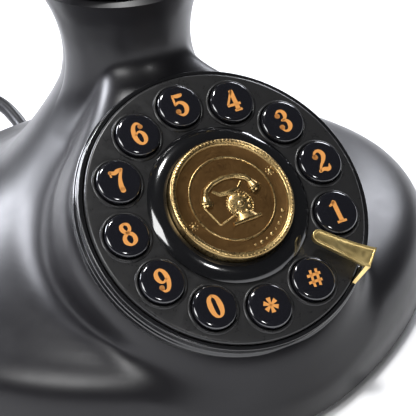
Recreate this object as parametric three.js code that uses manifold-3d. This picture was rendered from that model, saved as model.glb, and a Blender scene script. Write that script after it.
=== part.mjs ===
// A table telephone in the French cradle style: a flared one-piece body with a round push-button dial,
// a cradle with two forks and its hook switch, and a handset on a curly cord.
// Millimetres, +Z up. The dial faces -Y and the handset lies along X. The origin is on the table, in the
// middle of the body's outline.

import * as THREE from 'three';
import { mergeVertices } from 'three/addons/utils/BufferGeometryUtils.js';
import { ConvexGeometry } from 'three/addons/geometries/ConvexGeometry.js';
import Module from 'manifold-3d';

const wasm = await Module();
wasm.setup();

const degree = Math.PI / 180;

// ---- Driving dimensions ----

// General fits
const seam = 0.3; // gap between two pieces that touch
const slip = 0.35; // radial clearance of a piece that slides or turns in a hole

// Body shell
const baseHalfWidth = 104;
const baseHalfDepth = 97;
const planPower = 1.9; // the outline's exponent: 2 is an ellipse
const frontSwell = 6; // how far the skirt swells forward under the dial
const frontSwellSpread = 38; // how wide that swelling is
const footHeight = 3;
const neckRadius = 19.6;
const neckHeight = 100; // height of the narrowest place
const crownRadius = 27; // the shell's open top
const crownHeight = 126;
const wall = 2.6;
const bossBlend = 10; // how softly the dial's boss flows into the bell
const bossEdgeRound = 4;

// The bell's spread, from 1 at the skirt to 0 at the neck, against its share of the height
const flare = [
  [0, 1], [0.1, 1.01], [0.2, 0.985], [0.26, 0.9], [0.31, 0.735], [0.37, 0.588],
  [0.45, 0.445], [0.55, 0.303], [0.7, 0.152], [0.85, 0.036], [0.95, 0.004], [1, 0],
];

// Dial
const dialSlope = 40 * degree; // from lying flat
const dialY = -67.7; // middle of the faceplate's top, from the neck's axis
const dialZ = 67.5;
const plateMargin = 3.3; // faceplate's rim outside the buttons
const plateThickness = 2.4;
const bezelBand = 1.8; // bezel's rim outside the faceplate
const bezelFootWidth = 0.9; // the small step round the bezel's foot
const bezelLip = 1.3; // bezel's rim below the faceplate's top
const bossDrop = 6; // boss's top below the faceplate's top
const bezelSink = 3; // how deep the bezel sits in the boss
const membraneThickness = 1.2;
const boardThickness = 1.6;
const buttonNames = ['1', '2', '3', '4', '5', '6', '7', '8', '9', '0', 'star', 'hash'];
const buttonSpace = 1.88; // between the flanges of two neighbours
const buttonPitch = 29 * degree;
const firstButton = -23.5 * degree;
const buttonRadius = 7.3;
const buttonRise = 2.3; // above the faceplate
const buttonTravel = 1.6;
const buttonFlange = 0.9; // the rim that keeps a button behind the faceplate
const flangeThickness = 1;
const hubMargin = 2; // from the buttons to the hub ring
const hubHeight = 2.8;
const hubBand = 6.4; // hub ring's width round the medallion
const medallionHeight = 6.2;

// Finger stop
const stopAngle = -44.5 * degree;
const stopStart = 1.1; // from the hub ring to the bar's tip
const stopOverhang = 0.7; // past the bezel's edge
const stopNarrow = 4.6;
const stopWide = 7.6;
const stopHeight = 4.6; // underside of the bar above the faceplate
const stopThickness = 1.9;
const stopFootAngle = -52.5 * degree;

// Cradle and hook
const yokeHeight = 25.7;
const yokeHalfWidth = 47;
const yokeHalfDepth = 19;
const yokeFloor = 3;
const hookTravel = 6;
const bridgeRise = 10.7; // bridge's underside above the yoke's floor underside
const bridgeThickness = 4;
const bridgeHalfWidth = 26;
const plungerX = 22;
const plungerRadius = 2.5;
const rodRadius = 2.2;
const springRadius = 4.4;
const springWire = 0.9;
const springTurns = 3;
const forkX = 38;
const forkWidth = 5;
const forkThickness = 3.2;
const forkReach = 7; // how far the prongs stand above the handle's axis
const leverTail = 14; // from the lever's hinge back over the switch
const leverThickness = 2;
const leverZ = 30;
const bracketDrop = 10; // from the lever's hinge to the bracket's underside

// Handset
const handleAxis = 47; // above the crown
const handleWaist = 9; // radius at the ends
const handleBelly = 2.2; // extra radius in the middle
const cupX = 80;
const handleHalfLength = cupX - 12;
const cupRadius = 25;
const cupDrop = 28; // from the handle's axis to the cup's rim
const cupDepth = 15;
const cupNeck = 14; // radius of the cup's stem at the handle's axis
const cupWall = 3;
const capHeight = 6.4;
const capLip = 1;
const collarX = 56;
const collarWidth = 5;
const collarThickness = 1.8;

// Base and what stands on it
const plateDepth = 2.5;
const footRadius = 8.5;
const footInsetX = 42; // from the skirt's side and its back
const footInsetY = 44;
const screwInsetX = 28;
const screwInsetY = 62;
const screwRadius = 1.5;
const postRadius = 4;
const circuitWidth = 96;
const circuitDepth = 44;
const circuitInset = 51; // from the skirt's back to the board's middle
const circuitZ = 14;
const ballastWidth = 76;
const ballastDepth = 42;
const ballastHeight = 6;
const ballastX = 16;
const ballastInset = 48;
const gongInset = 44;
const gongY = 6;
const gongRadius = 19;
const gongZ = 10;
const gongHeight = 12;
const strikerAway = 29; // from the gong's middle
const strikerForward = 21;
const strikerReach = 23;
const strikerAngle = 103 * degree;
const strikerBall = 2.6;
const coilRadius = 6.5;
const coilLength = 17;

// Sockets on the back
const jackWidth = 15;
const jackDepth = 14;
const jackHeight = 12;
const jackZ = 14.5;
const jackMouthWidth = 10.6;
const jackMouthHeight = 7.6;
const handsetJackX = 0;
const lineJackX = 26;
const switchX = -32;
const switchTravel = 2.5;

// Handset cord
const plugStickOut = 11;
const tailDiameter = 5.8;
const curlDiameter = 10.6;
const bootRadius = 4.6;
const bootLength = 9.4;

// Sizes that follow from the ones above
const buttonCircle = (buttonRadius + buttonFlange + buttonSpace / 2) / Math.sin(buttonPitch / 2);
const plateRadius = buttonCircle + buttonRadius + plateMargin;
const bezelRadius = plateRadius + bezelBand;
const hubRadius = buttonCircle - buttonRadius - hubMargin;
const medallionRadius = hubRadius - hubBand;
const stopInner = hubRadius + stopStart;
const stopOuter = bezelRadius + stopOverhang;
const footX = baseHalfWidth - footInsetX;
const footY = baseHalfDepth - footInsetY;
const screwX = baseHalfWidth - screwInsetX;
const screwY = baseHalfDepth - screwInsetY;
const circuitY = baseHalfDepth - circuitInset;
const ballastY = ballastInset - baseHalfDepth;
const gongX = gongInset - baseHalfWidth;
const strikerX = gongX + strikerAway;
const strikerY = gongY - strikerForward;

// ---- Finishes ----

const finishes = {
  shell: [0x0d0d10, 0.28, 0],
  dial: [0x101012, 0.34, 0],
  key: [0x0a0a0c, 0.12, 0],
  antiqueBrass: [0x6f5423, 0.42, 1],
  brass: [0xc0a24a, 0.24, 1],
  rubber: [0x17171a, 0.8, 0],
  steel: [0x9a9ca0, 0.35, 1],
  board: [0x1f5a35, 0.6, 0],
  silicone: [0x8b8d90, 0.7, 0],
  copper: [0xa5602c, 0.4, 1],
  plate: [0x232327, 0.55, 0],
  cord: [0x0f0f12, 0.45, 0],
};

// ---- Helpers ----

const telephone = new THREE.Group();
const body = new THREE.Group();
body.position.y = frontSwell / 2;
telephone.add(body);

const dial = new THREE.Group();
dial.position.set(0, dialY, dialZ);
dial.rotation.x = dialSlope;
body.add(dial);

function addPiece(name, geometry, finish, parent = body) {
  const [color, roughness, metalness] = finishes[finish];
  const material = new THREE.MeshStandardMaterial({ color, roughness, metalness });
  const mesh = new THREE.Mesh(geometry, material);
  mesh.name = name;
  parent.add(mesh);
  return mesh;
}

function toSolid(geometry) {
  const bare = geometry.clone();
  bare.deleteAttribute('normal');
  bare.deleteAttribute('uv');
  const merged = mergeVertices(bare, 1e-4);
  return new wasm.Manifold(new wasm.Mesh({
    numProp: 3,
    vertProperties: new Float32Array(merged.attributes.position.array),
    triVerts: new Uint32Array(merged.index.array),
  }));
}

function toGeometry(solid) {
  const mesh = solid.getMesh();
  const geometry = new THREE.BufferGeometry();
  geometry.setAttribute('position', new THREE.BufferAttribute(mesh.vertProperties, 3));
  geometry.setIndex(new THREE.BufferAttribute(mesh.triVerts, 1));
  geometry.computeVertexNormals();
  return geometry;
}

function cutFrom(geometry, ...tools) {
  return toGeometry(tools.reduce((rest, tool) => rest.subtract(toSolid(tool)), toSolid(geometry)));
}

function joined(first, ...others) {
  return toGeometry(others.reduce((all, other) => all.add(toSolid(other)), toSolid(first)));
}

function box(x, y, z, width, depth, height) {
  return new THREE.BoxGeometry(width, depth, height).translate(x, y, z);
}

// A cylinder along Z from low to high
function drum(x, y, low, high, radius, sides = 24, topRadius = radius) {
  const shape = new THREE.CylinderGeometry(topRadius, radius, high - low, sides);
  return shape.rotateX(Math.PI / 2).translate(x, y, (low + high) / 2);
}

// A solid turned about Z, from [radius, height] pairs that start and end on the axis, or close
function turned(outline, sides = 32) {
  const points = outline.map(([radius, height]) => new THREE.Vector2(radius, height));
  return new THREE.LatheGeometry(points, sides).rotateX(Math.PI / 2);
}

// A closed solid through rings of equally many points, listed from the bottom up
function loft(rings) {
  const count = rings[0].length;
  const points = rings.flat();
  const faces = [];
  for (let level = 0; level + 1 < rings.length; level += 1) {
    for (let i = 0; i < count; i += 1) {
      const a = level * count + i;
      const b = level * count + (i + 1) % count;
      faces.push(a, b, a + count, b, b + count, a + count);
    }
  }
  for (const [level, upward] of [[0, false], [rings.length - 1, true]]) {
    const middle = new THREE.Vector3();
    rings[level].forEach((point) => middle.add(point));
    points.push(middle.divideScalar(count));
    for (let i = 0; i < count; i += 1) {
      const a = level * count + i;
      const b = level * count + (i + 1) % count;
      faces.push(...(upward ? [a, b, points.length - 1] : [b, a, points.length - 1]));
    }
  }
  const geometry = new THREE.BufferGeometry().setFromPoints(points);
  geometry.setIndex(faces);
  return geometry;
}

// ---- The body's surface ----

// A smooth curve through [place, value] pairs
function smoothAt(table, place) {
  const last = table.length - 1;
  const at = Math.min(Math.max(place, table[0][0]), table[last][0]);
  let i = 0;
  while (i < last - 1 && at > table[i + 1][0]) i += 1;
  const rate = (a, b) => (table[b][1] - table[a][1]) / (table[b][0] - table[a][0]);
  const [from, to] = [table[i], table[i + 1]];
  const span = to[0] - from[0];
  const startRate = i > 0 ? rate(i - 1, i + 1) : rate(i, i + 1);
  const endRate = i < last - 1 ? rate(i, i + 2) : rate(i, i + 1);
  const t = (at - from[0]) / span;
  return (1 + 2 * t) * (1 - t) ** 2 * from[1] + t * (1 - t) ** 2 * span * startRate
    + t ** 2 * (3 - 2 * t) * to[1] + t ** 2 * (t - 1) * span * endRate;
}

// The bell without the boss: its radius towards an angle, at a height
function bellRadius(angle, height) {
  const spread = smoothAt(flare, (height - footHeight) / (neckHeight - footHeight));
  const above = Math.max(0, (height - neckHeight) / (crownHeight - neckHeight));
  const neck = neckRadius + (crownRadius - neckRadius) * above ** 2;
  const halfWidth = neck + (baseHalfWidth - neckRadius) * spread;
  const halfDepth = neck + (baseHalfDepth - neckRadius) * spread;
  const radius = (Math.abs(Math.cos(angle) / halfWidth) ** planPower
    + Math.abs(Math.sin(angle) / halfDepth) ** planPower) ** (-1 / planPower);
  const forward = Math.max(0, -Math.sin(angle));
  const swell = Math.exp(-((radius * Math.cos(angle) / frontSwellSpread) ** 2));
  return radius + frontSwell * spread * forward * swell;
}

function softMin(a, b, softness) {
  const near = Math.max(softness - Math.abs(a - b), 0) / softness;
  return Math.min(a, b) - near * near * softness / 4;
}

function softMax(a, b, softness) {
  return -softMin(-a, -b, softness);
}

// Roughly how far a point is outside the body
function outside(angle, height, radius) {
  const step = 0.5;
  const steepness = (bellRadius(angle, height + step) - bellRadius(angle, height - step)) / (2 * step);
  const bell = (radius - bellRadius(angle, height)) / Math.hypot(1, steepness);
  const back = radius * Math.sin(angle) - dialY;
  const up = height - dialZ;
  const across = Math.hypot(radius * Math.cos(angle), back * Math.cos(dialSlope) + up * Math.sin(dialSlope));
  const out = up * Math.cos(dialSlope) - back * Math.sin(dialSlope);
  const boss = softMax(across - bezelRadius - 1.5, out + bossDrop, bossEdgeRound);
  return softMin(bell, boss, bossBlend);
}

// The body's radius towards an angle, at a height, a stated depth under its surface
function bodyRadius(angle, height, depth = 0) {
  let high = 1.3 * Math.max(baseHalfWidth, baseHalfDepth + frontSwell);
  const step = 2;
  while (high > step && outside(angle, height, high) > -depth) high -= step;
  let low = high;
  high += step;
  for (let i = 0; i < 16; i += 1) {
    const middle = (low + high) / 2;
    if (outside(angle, height, middle) > -depth) high = middle;
    else low = middle;
  }
  return low;
}

function bodyRing(height, depth, sides, place = height) {
  return Array.from({ length: sides }, (_, i) => {
    const angle = 2 * Math.PI * i / sides;
    const radius = bodyRadius(angle, height, depth);
    return new THREE.Vector3(radius * Math.cos(angle), radius * Math.sin(angle), place);
  });
}

function heights(count) {
  // Closer together round the skirt's shoulder than up the neck
  return Array.from({ length: count }, (_, i) => {
    const share = i / (count - 1);
    return footHeight + (crownHeight - footHeight) * (0.62 * share + 0.38 * share ** 2);
  });
}

// ---- Body shell, base plate, feet, screws ----

const innerSides = 26;
const plateTop = footHeight + seam + plateDepth;
const leverPivotY = circuitY - circuitDepth / 2 - 4;
const keypadRadius = buttonCircle + buttonRadius + buttonFlange + seam;
const screwPlaces = [[1, 1], [-1, 1], [-1, -1], [1, -1]].map(([x, y]) => [x * screwX, y * screwY]);
const bezelFloor = bossDrop + bezelSink;

function makeHousing() {
  const outer = toSolid(loft(heights(18).map((height) => bodyRing(height, 0, 36))));
  const innerRings = heights(12).map((height) => bodyRing(height, wall, innerSides));
  innerRings.unshift(bodyRing(footHeight, wall, innerSides, footHeight - 1));
  innerRings.push(bodyRing(crownHeight, wall, innerSides, crownHeight + 1));
  let shell = outer.subtract(toSolid(loft(innerRings)));
  for (const [x, y] of screwPlaces) {
    const post = toSolid(drum(x, y, plateTop + seam, neckHeight, postRadius, 12)).intersect(outer);
    shell = shell.add(post).subtract(toSolid(drum(x, y, plateTop, plateTop + 12, screwRadius + seam, 10)));
  }
  const tilt = (geometry) => toSolid(geometry.rotateX(dialSlope).translate(0, dialY, dialZ));
  shell = shell.subtract(tilt(drum(0, 0, -bezelFloor - seam, 40, bezelRadius + bezelFootWidth + seam, 40)));
  shell = shell.subtract(tilt(drum(0, 0, -bezelFloor - 12, 0, keypadRadius + 1, 32)));
  for (const x of [handsetJackX, lineJackX]) {
    const mouth = box(x, baseHalfDepth, jackZ, jackWidth + 2 * seam, 40, jackHeight + 2 * seam);
    shell = shell.subtract(toSolid(mouth));
  }
  const slot = box(switchX, baseHalfDepth, jackZ, 5 + 2 * (switchTravel + slip), 30, 4 + 2 * slip);
  const bodies = shell.subtract(toSolid(slot)).decompose();
  return toGeometry(bodies.sort((a, b) => b.volume() - a.volume())[0]); // without the cuts' crumbs
}

function makeBasePlate() {
  const rim = (place) => bodyRing(footHeight, wall + 0.5, innerSides, place);
  const plate = loft([rim(footHeight + seam), rim(plateTop)]);
  const stands = [-1, 1].flatMap((side) => [-1, 1].map((end) => (
    drum(side * (circuitWidth / 2 - 5), circuitY + end * (circuitDepth / 2 - 5), footHeight + 1,
      circuitZ - seam, 2.8, 10)
  )));
  const gongPost = drum(gongX, gongY, footHeight + 1, gongZ + gongHeight - 5, 2.6, 12);
  const strikerPost = drum(strikerX, strikerY, footHeight + 1, gongZ + 7, 1.4, 12);
  const standTop = leverZ - bracketDrop - seam;
  const leverStand = box(0, leverPivotY, (footHeight + 1 + standTop) / 2, 12, 6, standTop - footHeight - 1);
  const solid = joined(plate, ...stands, gongPost, strikerPost, leverStand);
  const holes = screwPlaces.map(([x, y]) => drum(x, y, 0, 20, screwRadius + seam, 10));
  return cutFrom(solid, ...holes);
}

function makeScrew() {
  return turned([[0, 1], [2.9, 1], [2.9, footHeight], [screwRadius, footHeight],
    [screwRadius, plateTop + 9], [0, plateTop + 10]], 10);
}

addPiece('housing', makeHousing(), 'shell');
addPiece('base_plate', makeBasePlate(), 'plate');
const corners = { front_left: [-1, -1], front_right: [1, -1], rear_left: [-1, 1], rear_right: [1, 1] };
for (const [corner, [x, y]] of Object.entries(corners)) {
  const foot = turned([[0, 0], [footRadius - 1, 0], [footRadius, 1], [footRadius, footHeight],
    [0, footHeight]], 16);
  addPiece(`foot_${corner}`, foot, 'rubber').position.set(x * footX, y * footY, 0);
  addPiece(`screw_${corner}`, makeScrew(), 'steel').position.set(x * screwX, y * screwY, 0);
}

// ---- Dial, in its own frame: faceplate's top at z = 0, dial up along +Y ----

function buttonPlace(index) {
  const angle = firstButton + index * buttonPitch;
  return [buttonCircle * Math.cos(angle), buttonCircle * Math.sin(angle)];
}

const plateBottom = -plateThickness;
const holeRadius = buttonRadius + slip;
const flangeTop = plateBottom - seam;
const flangeBottom = flangeTop - flangeThickness;
const membraneTop = flangeBottom - buttonTravel - seam;
const boardTop = membraneTop - membraneThickness - seam;

function makeFaceplate() {
  const outline = [[0, plateBottom], [plateRadius, plateBottom], [plateRadius, -0.7],
    [plateRadius - 0.7, 0], [0, 0]];
  const holes = buttonNames.map((_, i) => drum(...buttonPlace(i), -10, 10, holeRadius, 16));
  return cutFrom(turned(outline, 40), ...holes);
}

function makeBezel() {
  const inner = keypadRadius + seam;
  const ledge = plateBottom - seam;
  return turned([[inner, -bezelFloor], [bezelRadius + bezelFootWidth, -bezelFloor],
    [bezelRadius + bezelFootWidth, -bossDrop + 0.8], [bezelRadius, -bossDrop + 1.4],
    [bezelRadius, -bezelLip - 0.5], [bezelRadius - 0.5, -bezelLip], [plateRadius + seam, -bezelLip],
    [plateRadius + seam, ledge], [inner, ledge], [inner, -bezelFloor]], 40);
}

function makeButton() {
  const top = buttonRise;
  const brim = buttonRadius + buttonFlange;
  return turned([[0, flangeBottom], [brim, flangeBottom], [brim, flangeTop - 0.1],
    [buttonRadius, flangeTop], [buttonRadius, top - 0.8], [buttonRadius - 0.8, top], [0, top + 0.25]], 16);
}

function makeHubRing() {
  const inner = medallionRadius + seam;
  return turned([[inner, seam], [hubRadius, seam], [hubRadius - 0.4, 0.9], [hubRadius - 1.6, 2],
    [hubRadius - 3.2, hubHeight], [inner, hubHeight], [inner, seam]], 36);
}

function makeMedallion() {
  const rim = medallionRadius;
  return turned([[0, seam], [rim, seam], [rim, medallionHeight - 0.5], [rim - 0.8, medallionHeight],
    [rim - 2, medallionHeight - 0.3], [rim - 2.4, medallionHeight - 1.1], [0, medallionHeight - 1.1]], 36);
}

// A bar over the dial, narrow at its inner end, on a leg that comes down to the bezel's rim
function makeFingerStop() {
  const top = stopHeight + stopThickness;
  const bar = new THREE.Shape();
  bar.moveTo(stopInner + stopNarrow / 2, -stopNarrow / 2);
  bar.lineTo(stopOuter, -stopNarrow / 2 - 0.6);
  bar.lineTo(stopOuter, stopWide - stopNarrow / 2 - 0.6);
  bar.quadraticCurveTo((stopInner + stopOuter) / 2 + 3, stopNarrow / 2 + 0.4, stopInner + stopNarrow / 2,
    stopNarrow / 2);
  bar.absarc(stopInner + stopNarrow / 2, 0, stopNarrow / 2, Math.PI / 2, 1.5 * Math.PI, false);
  const flat = new THREE.ExtrudeGeometry(bar, { depth: stopThickness, bevelEnabled: false, curveSegments: 8 });
  flat.translate(0, 0, stopHeight).rotateZ(stopAngle);
  const polar = (radius, angle, z) => new THREE.Vector3(radius * Math.cos(angle), radius * Math.sin(angle), z);
  const footLow = -bezelLip + seam;
  const legCorners = [];
  for (const [angle, low] of [[-1.5 * degree, stopHeight], [-7 * degree, stopHeight]]) {
    for (const radius of [stopOuter - 1.8, stopOuter]) {
      legCorners.push(polar(radius, stopAngle - 1.6 * degree + angle / 4, top - 0.1));
      legCorners.push(polar(radius, stopAngle - 1.6 * degree + angle / 4, low));
    }
  }
  for (const angle of [stopFootAngle, stopFootAngle + 2.6 * degree]) {
    for (const radius of [plateRadius + 0.35, bezelRadius - 0.1]) {
      legCorners.push(polar(radius, angle, footLow));
      legCorners.push(polar(radius, angle, footLow + 1));
    }
  }
  return joined(flat, new ConvexGeometry(legCorners));
}

addPiece('dial_bezel', makeBezel(), 'dial', dial);
addPiece('dial_faceplate', makeFaceplate(), 'dial', dial);
addPiece('hub_ring', makeHubRing(), 'dial', dial);
addPiece('medallion', makeMedallion(), 'antiqueBrass', dial);
addPiece('finger_stop', makeFingerStop(), 'brass', dial);
buttonNames.forEach((name, i) => {
  addPiece(`button_${name}`, makeButton(), 'key', dial).position.set(...buttonPlace(i), 0);
});
addPiece('keypad_membrane', drum(0, 0, membraneTop - membraneThickness, membraneTop, keypadRadius, 40),
  'silicone', dial);
addPiece('keypad_board', drum(0, 0, boardTop - boardThickness, boardTop, keypadRadius, 40), 'board', dial);

// ---- Cradle: yoke, forks, and the hook that the handset holds down ----

const yokeBottom = crownHeight + seam;
const yokeTop = yokeBottom + yokeHeight;
const bridgeBottom = yokeBottom + bridgeRise;
const bridgeTop = bridgeBottom + bridgeThickness;
const axisZ = crownHeight + handleAxis;

function handleRadius(x) {
  const middle = Math.cos(Math.PI * x / (2 * handleHalfLength));
  return handleWaist + handleBelly * middle * middle;
}

function makeYoke() {
  const ring = (halfWidth, halfDepth, z) => Array.from({ length: 40 }, (_, i) => {
    const angle = 2 * Math.PI * i / 40;
    return new THREE.Vector3(halfWidth * Math.cos(angle), halfDepth * Math.sin(angle), z);
  });
  const rings = [0, 0.25, 0.5, 0.75, 0.93, 1].map((share) => {
    const spread = Math.sin(share * Math.PI / 2) ** 1.5 - (share === 1 ? 0.03 : 0);
    return ring(crownRadius + (yokeHalfWidth - crownRadius) * spread,
      crownRadius + (yokeHalfDepth - crownRadius) * spread, yokeBottom + share * yokeHeight);
  });
  const pocketTop = bridgeTop + hookTravel + 1;
  const pocketLow = yokeBottom + yokeFloor;
  const pocket = box(0, 0, (pocketLow + pocketTop) / 2, 2 * bridgeHalfWidth + 2, 11, pocketTop - pocketLow);
  const rodHole = drum(0, 0, 0, yokeTop, rodRadius + slip, 12);
  const rodHoleOnly = toGeometry(toSolid(rodHole).intersect(toSolid(box(0, 0, pocketLow, 20, 20, 12))));
  const holes = [-1, 1].map((side) => (
    drum(side * plungerX, 0, pocketTop - 1, yokeTop + 1, plungerRadius + slip, 14)
  ));
  return cutFrom(loft(rings), pocket, rodHoleOnly, ...holes);
}

// A U that the handle lies in, on a short stem
function makeFork() {
  const seat = handleRadius(forkX + forkWidth / 2) + handleBelly / 2 + seam;
  const outer = seat + forkThickness;
  const low = yokeTop + seam - axisZ;
  const profile = new THREE.Shape();
  profile.moveTo(-forkThickness * 1.6, low);
  profile.lineTo(forkThickness * 1.6, low);
  profile.lineTo(outer * 0.55, -outer * 0.84);
  profile.absarc(0, 0, outer, -57 * degree, 0, false);
  profile.lineTo(outer, forkReach);
  profile.lineTo(outer - forkThickness * 0.6, forkReach + 2);
  profile.lineTo(seat, forkReach);
  profile.lineTo(seat, 0);
  profile.absarc(0, 0, seat, 0, -Math.PI, true);
  profile.lineTo(-seat, forkReach);
  profile.lineTo(-outer + forkThickness * 0.6, forkReach + 2);
  profile.lineTo(-outer, forkReach);
  profile.lineTo(-outer, 0);
  profile.absarc(0, 0, outer, Math.PI, 1.5 * Math.PI - 33 * degree, false);
  const solid = new THREE.ExtrudeGeometry(profile, { depth: forkWidth, bevelEnabled: false, curveSegments: 10 });
  return solid.rotateX(Math.PI / 2).rotateZ(Math.PI / 2).translate(-forkWidth / 2, 0, 0);
}

class Helix extends THREE.Curve {
  constructor(radius, low, high, turns) {
    super();
    Object.assign(this, { radius, low, high, turns });
  }

  getPoint(t, target = new THREE.Vector3()) {
    const angle = 2 * Math.PI * this.turns * t;
    const z = this.low + (this.high - this.low) * t;
    return target.set(this.radius * Math.cos(angle), this.radius * Math.sin(angle), z);
  }
}

function tube(curve, diameter, sides, steps) {
  const section = new THREE.Shape();
  for (let i = 0; i < sides; i += 1) {
    const angle = 2 * Math.PI * i / sides;
    const place = [diameter / 2 * Math.cos(angle), diameter / 2 * Math.sin(angle)];
    if (i) section.lineTo(...place);
    else section.moveTo(...place);
  }
  return new THREE.ExtrudeGeometry(section, { steps, extrudePath: curve, bevelEnabled: false });
}

function makeHookSpring() {
  const low = yokeBottom + yokeFloor + seam + springWire / 2;
  const high = bridgeBottom - seam - springWire / 2;
  return tube(new Helix(springRadius, low, high, springTurns), springWire, 5, springTurns * 10);
}

// A flat arm from its hinge to under the push rod
function makeHookLever() {
  const reach = leverPivotY + rodRadius + 2;
  const arm = box(0, (leverTail - reach) / 2, 0, 7, reach + leverTail, leverThickness);
  const barrel = new THREE.CylinderGeometry(2.6, 2.6, 7, 16).rotateZ(Math.PI / 2);
  const pin = new THREE.CylinderGeometry(1.2 + slip, 1.2 + slip, 12, 12).rotateZ(Math.PI / 2);
  return cutFrom(joined(arm, barrel), pin);
}

function makeLeverBracket() {
  const cheeks = [-1, 1].map((side) => box(side * 5.2, 0, (4 - bracketDrop) / 2, 2, 7, 4 + bracketDrop));
  const foot = box(0, 0, 1 - bracketDrop, 12.4, 7, 2);
  const pin = new THREE.CylinderGeometry(1.2, 1.2, 11, 12).rotateZ(Math.PI / 2);
  return joined(foot, ...cheeks, pin);
}

addPiece('cradle_yoke', makeYoke(), 'shell');
addPiece('cradle_fork_left', makeFork(), 'brass').position.set(-forkX, 0, axisZ);
addPiece('cradle_fork_right', makeFork(), 'brass').position.set(forkX, 0, axisZ);
addPiece('hook_bridge', box(0, 0, (bridgeBottom + bridgeTop) / 2, 2 * bridgeHalfWidth, 9, bridgeThickness),
  'plate');
const plungerTop = axisZ - handleRadius(plungerX) - seam;
for (const [side, x] of [['left', -plungerX], ['right', plungerX]]) {
  const plunger = turned([[0, bridgeTop + seam], [plungerRadius, bridgeTop + seam],
    [plungerRadius, plungerTop - 1.4], [plungerRadius - 1, plungerTop - 0.3], [0, plungerTop]], 14);
  addPiece(`hook_plunger_${side}`, plunger, 'brass').position.x = x;
}
addPiece('push_rod', drum(0, 0, leverZ + leverThickness / 2 + seam, bridgeBottom - seam, rodRadius, 12),
  'steel');
addPiece('hook_spring', makeHookSpring(), 'steel');
addPiece('hook_lever', makeHookLever(), 'plate').position.set(0, leverPivotY, leverZ);
addPiece('hook_bracket', makeLeverBracket(), 'steel').position.set(0, leverPivotY, leverZ);

// ---- Handset ----

const rimZ = axisZ - cupDrop;

function makeHandle() {
  const stations = Array.from({ length: 9 }, (_, i) => -handleHalfLength + i * handleHalfLength / 4);
  const outline = [[0, stations[0]], ...stations.map((x) => [handleRadius(x), x]), [0, handleHalfLength]];
  const grip = turned(outline, 18).rotateY(Math.PI / 2).translate(0, 0, axisZ);
  const cup = (side) => {
    const dome = turned([[0, rimZ], [cupRadius, rimZ], [cupRadius - 0.5, rimZ + 4], [cupRadius - 3.5, rimZ + 9],
      [cupNeck + 2.5, rimZ + cupDepth], [cupNeck, axisZ - 6], [cupNeck, axisZ + 1],
      [cupNeck - 2.5, axisZ + 7], [cupNeck - 8, axisZ + 10.5], [0, axisZ + 11.5]], 24);
    return dome.translate(side * cupX, 0, 0);
  };
  const hollow = (side) => drum(side * cupX, 0, rimZ - 1, rimZ + cupDepth, cupRadius - cupWall, 20, 12);
  const whole = joined(grip, cup(-1), cup(1));
  return cutFrom(whole, hollow(-1), hollow(1));
}

// A collar of brass round the grip, that follows its taper
function makeCollar() {
  const inner = handleRadius(collarX - collarWidth) + seam;
  const outer = inner + collarThickness;
  return turned([[inner, -collarWidth / 2], [outer - 0.6, -collarWidth / 2], [outer, 0],
    [outer - 0.6, collarWidth / 2], [inner, collarWidth / 2], [inner, -collarWidth / 2]], 20)
    .rotateY(Math.PI / 2);
}

// A screwed cap that closes a cup, pierced for the sound
function makeCap(doming) {
  const outer = cupRadius + capLip;
  const top = rimZ - seam;
  const low = top - capHeight;
  const cap = turned([[0, low + doming], [12, low + 0.4 * doming], [20, low], [outer, low + 1], [outer, top - 1],
    [outer - 0.8, top], [cupRadius - cupWall - 2, top], [cupRadius - cupWall - 2, low + 3.6],
    [0, low + 3 + doming]], 24);
  const holes = Array.from({ length: 6 }, (_, i) => {
    const angle = 2 * Math.PI * i / 5;
    const radius = i < 5 ? 7 : 0;
    return drum(radius * Math.cos(angle), radius * Math.sin(angle), low - 2, top + 1, 1.3, 6);
  });
  return cutFrom(cap, ...holes);
}

function makeCapsule() {
  return drum(0, 0, rimZ + seam, rimZ + 6, cupRadius - cupWall - 5.5, 20);
}

addPiece('handset_handle', makeHandle(), 'shell');
for (const [side, sign] of [['left', -1], ['right', 1]]) {
  addPiece(`handset_collar_${side}`, makeCollar(), 'brass').position.set(sign * collarX, 0, axisZ);
}
addPiece('mouth_cap', makeCap(1.2), 'shell').position.x = -cupX;
addPiece('ear_cap', makeCap(2.2), 'shell').position.x = cupX;
addPiece('microphone_capsule', makeCapsule(), 'steel').position.x = -cupX;
addPiece('receiver_capsule', makeCapsule(), 'steel').position.x = cupX;

// ---- Inside the body ----

function makeGong() {
  const top = gongHeight;
  const skin = 1.3;
  return turned([[3.2, top - skin], [10, top - skin], [gongRadius - 3.5, top - 4.5], [gongRadius - skin, 0],
    [gongRadius, 0], [gongRadius - 2, top - 3.5], [10.6, top], [3.2, top], [3.2, top - skin]], 24);
}

function makeStriker() {
  const arm = box(strikerReach / 2, 0, 0, strikerReach, 2, 2);
  const barrel = drum(0, 0, -2.5, 2.5, 3.4, 14);
  const ball = new THREE.SphereGeometry(strikerBall, 12, 8).translate(strikerReach, 0, 0);
  return cutFrom(joined(arm, barrel, ball), drum(0, 0, -5, 5, 1.4 + slip, 12));
}

function makeCoil() {
  return turned([[0, 0], [coilRadius, 0], [coilRadius, 2], [coilRadius - 1.2, 2],
    [coilRadius - 1.2, coilLength - 2], [coilRadius, coilLength - 2], [coilRadius, coilLength],
    [0, coilLength]], 16).rotateX(Math.PI / 2);
}

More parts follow.
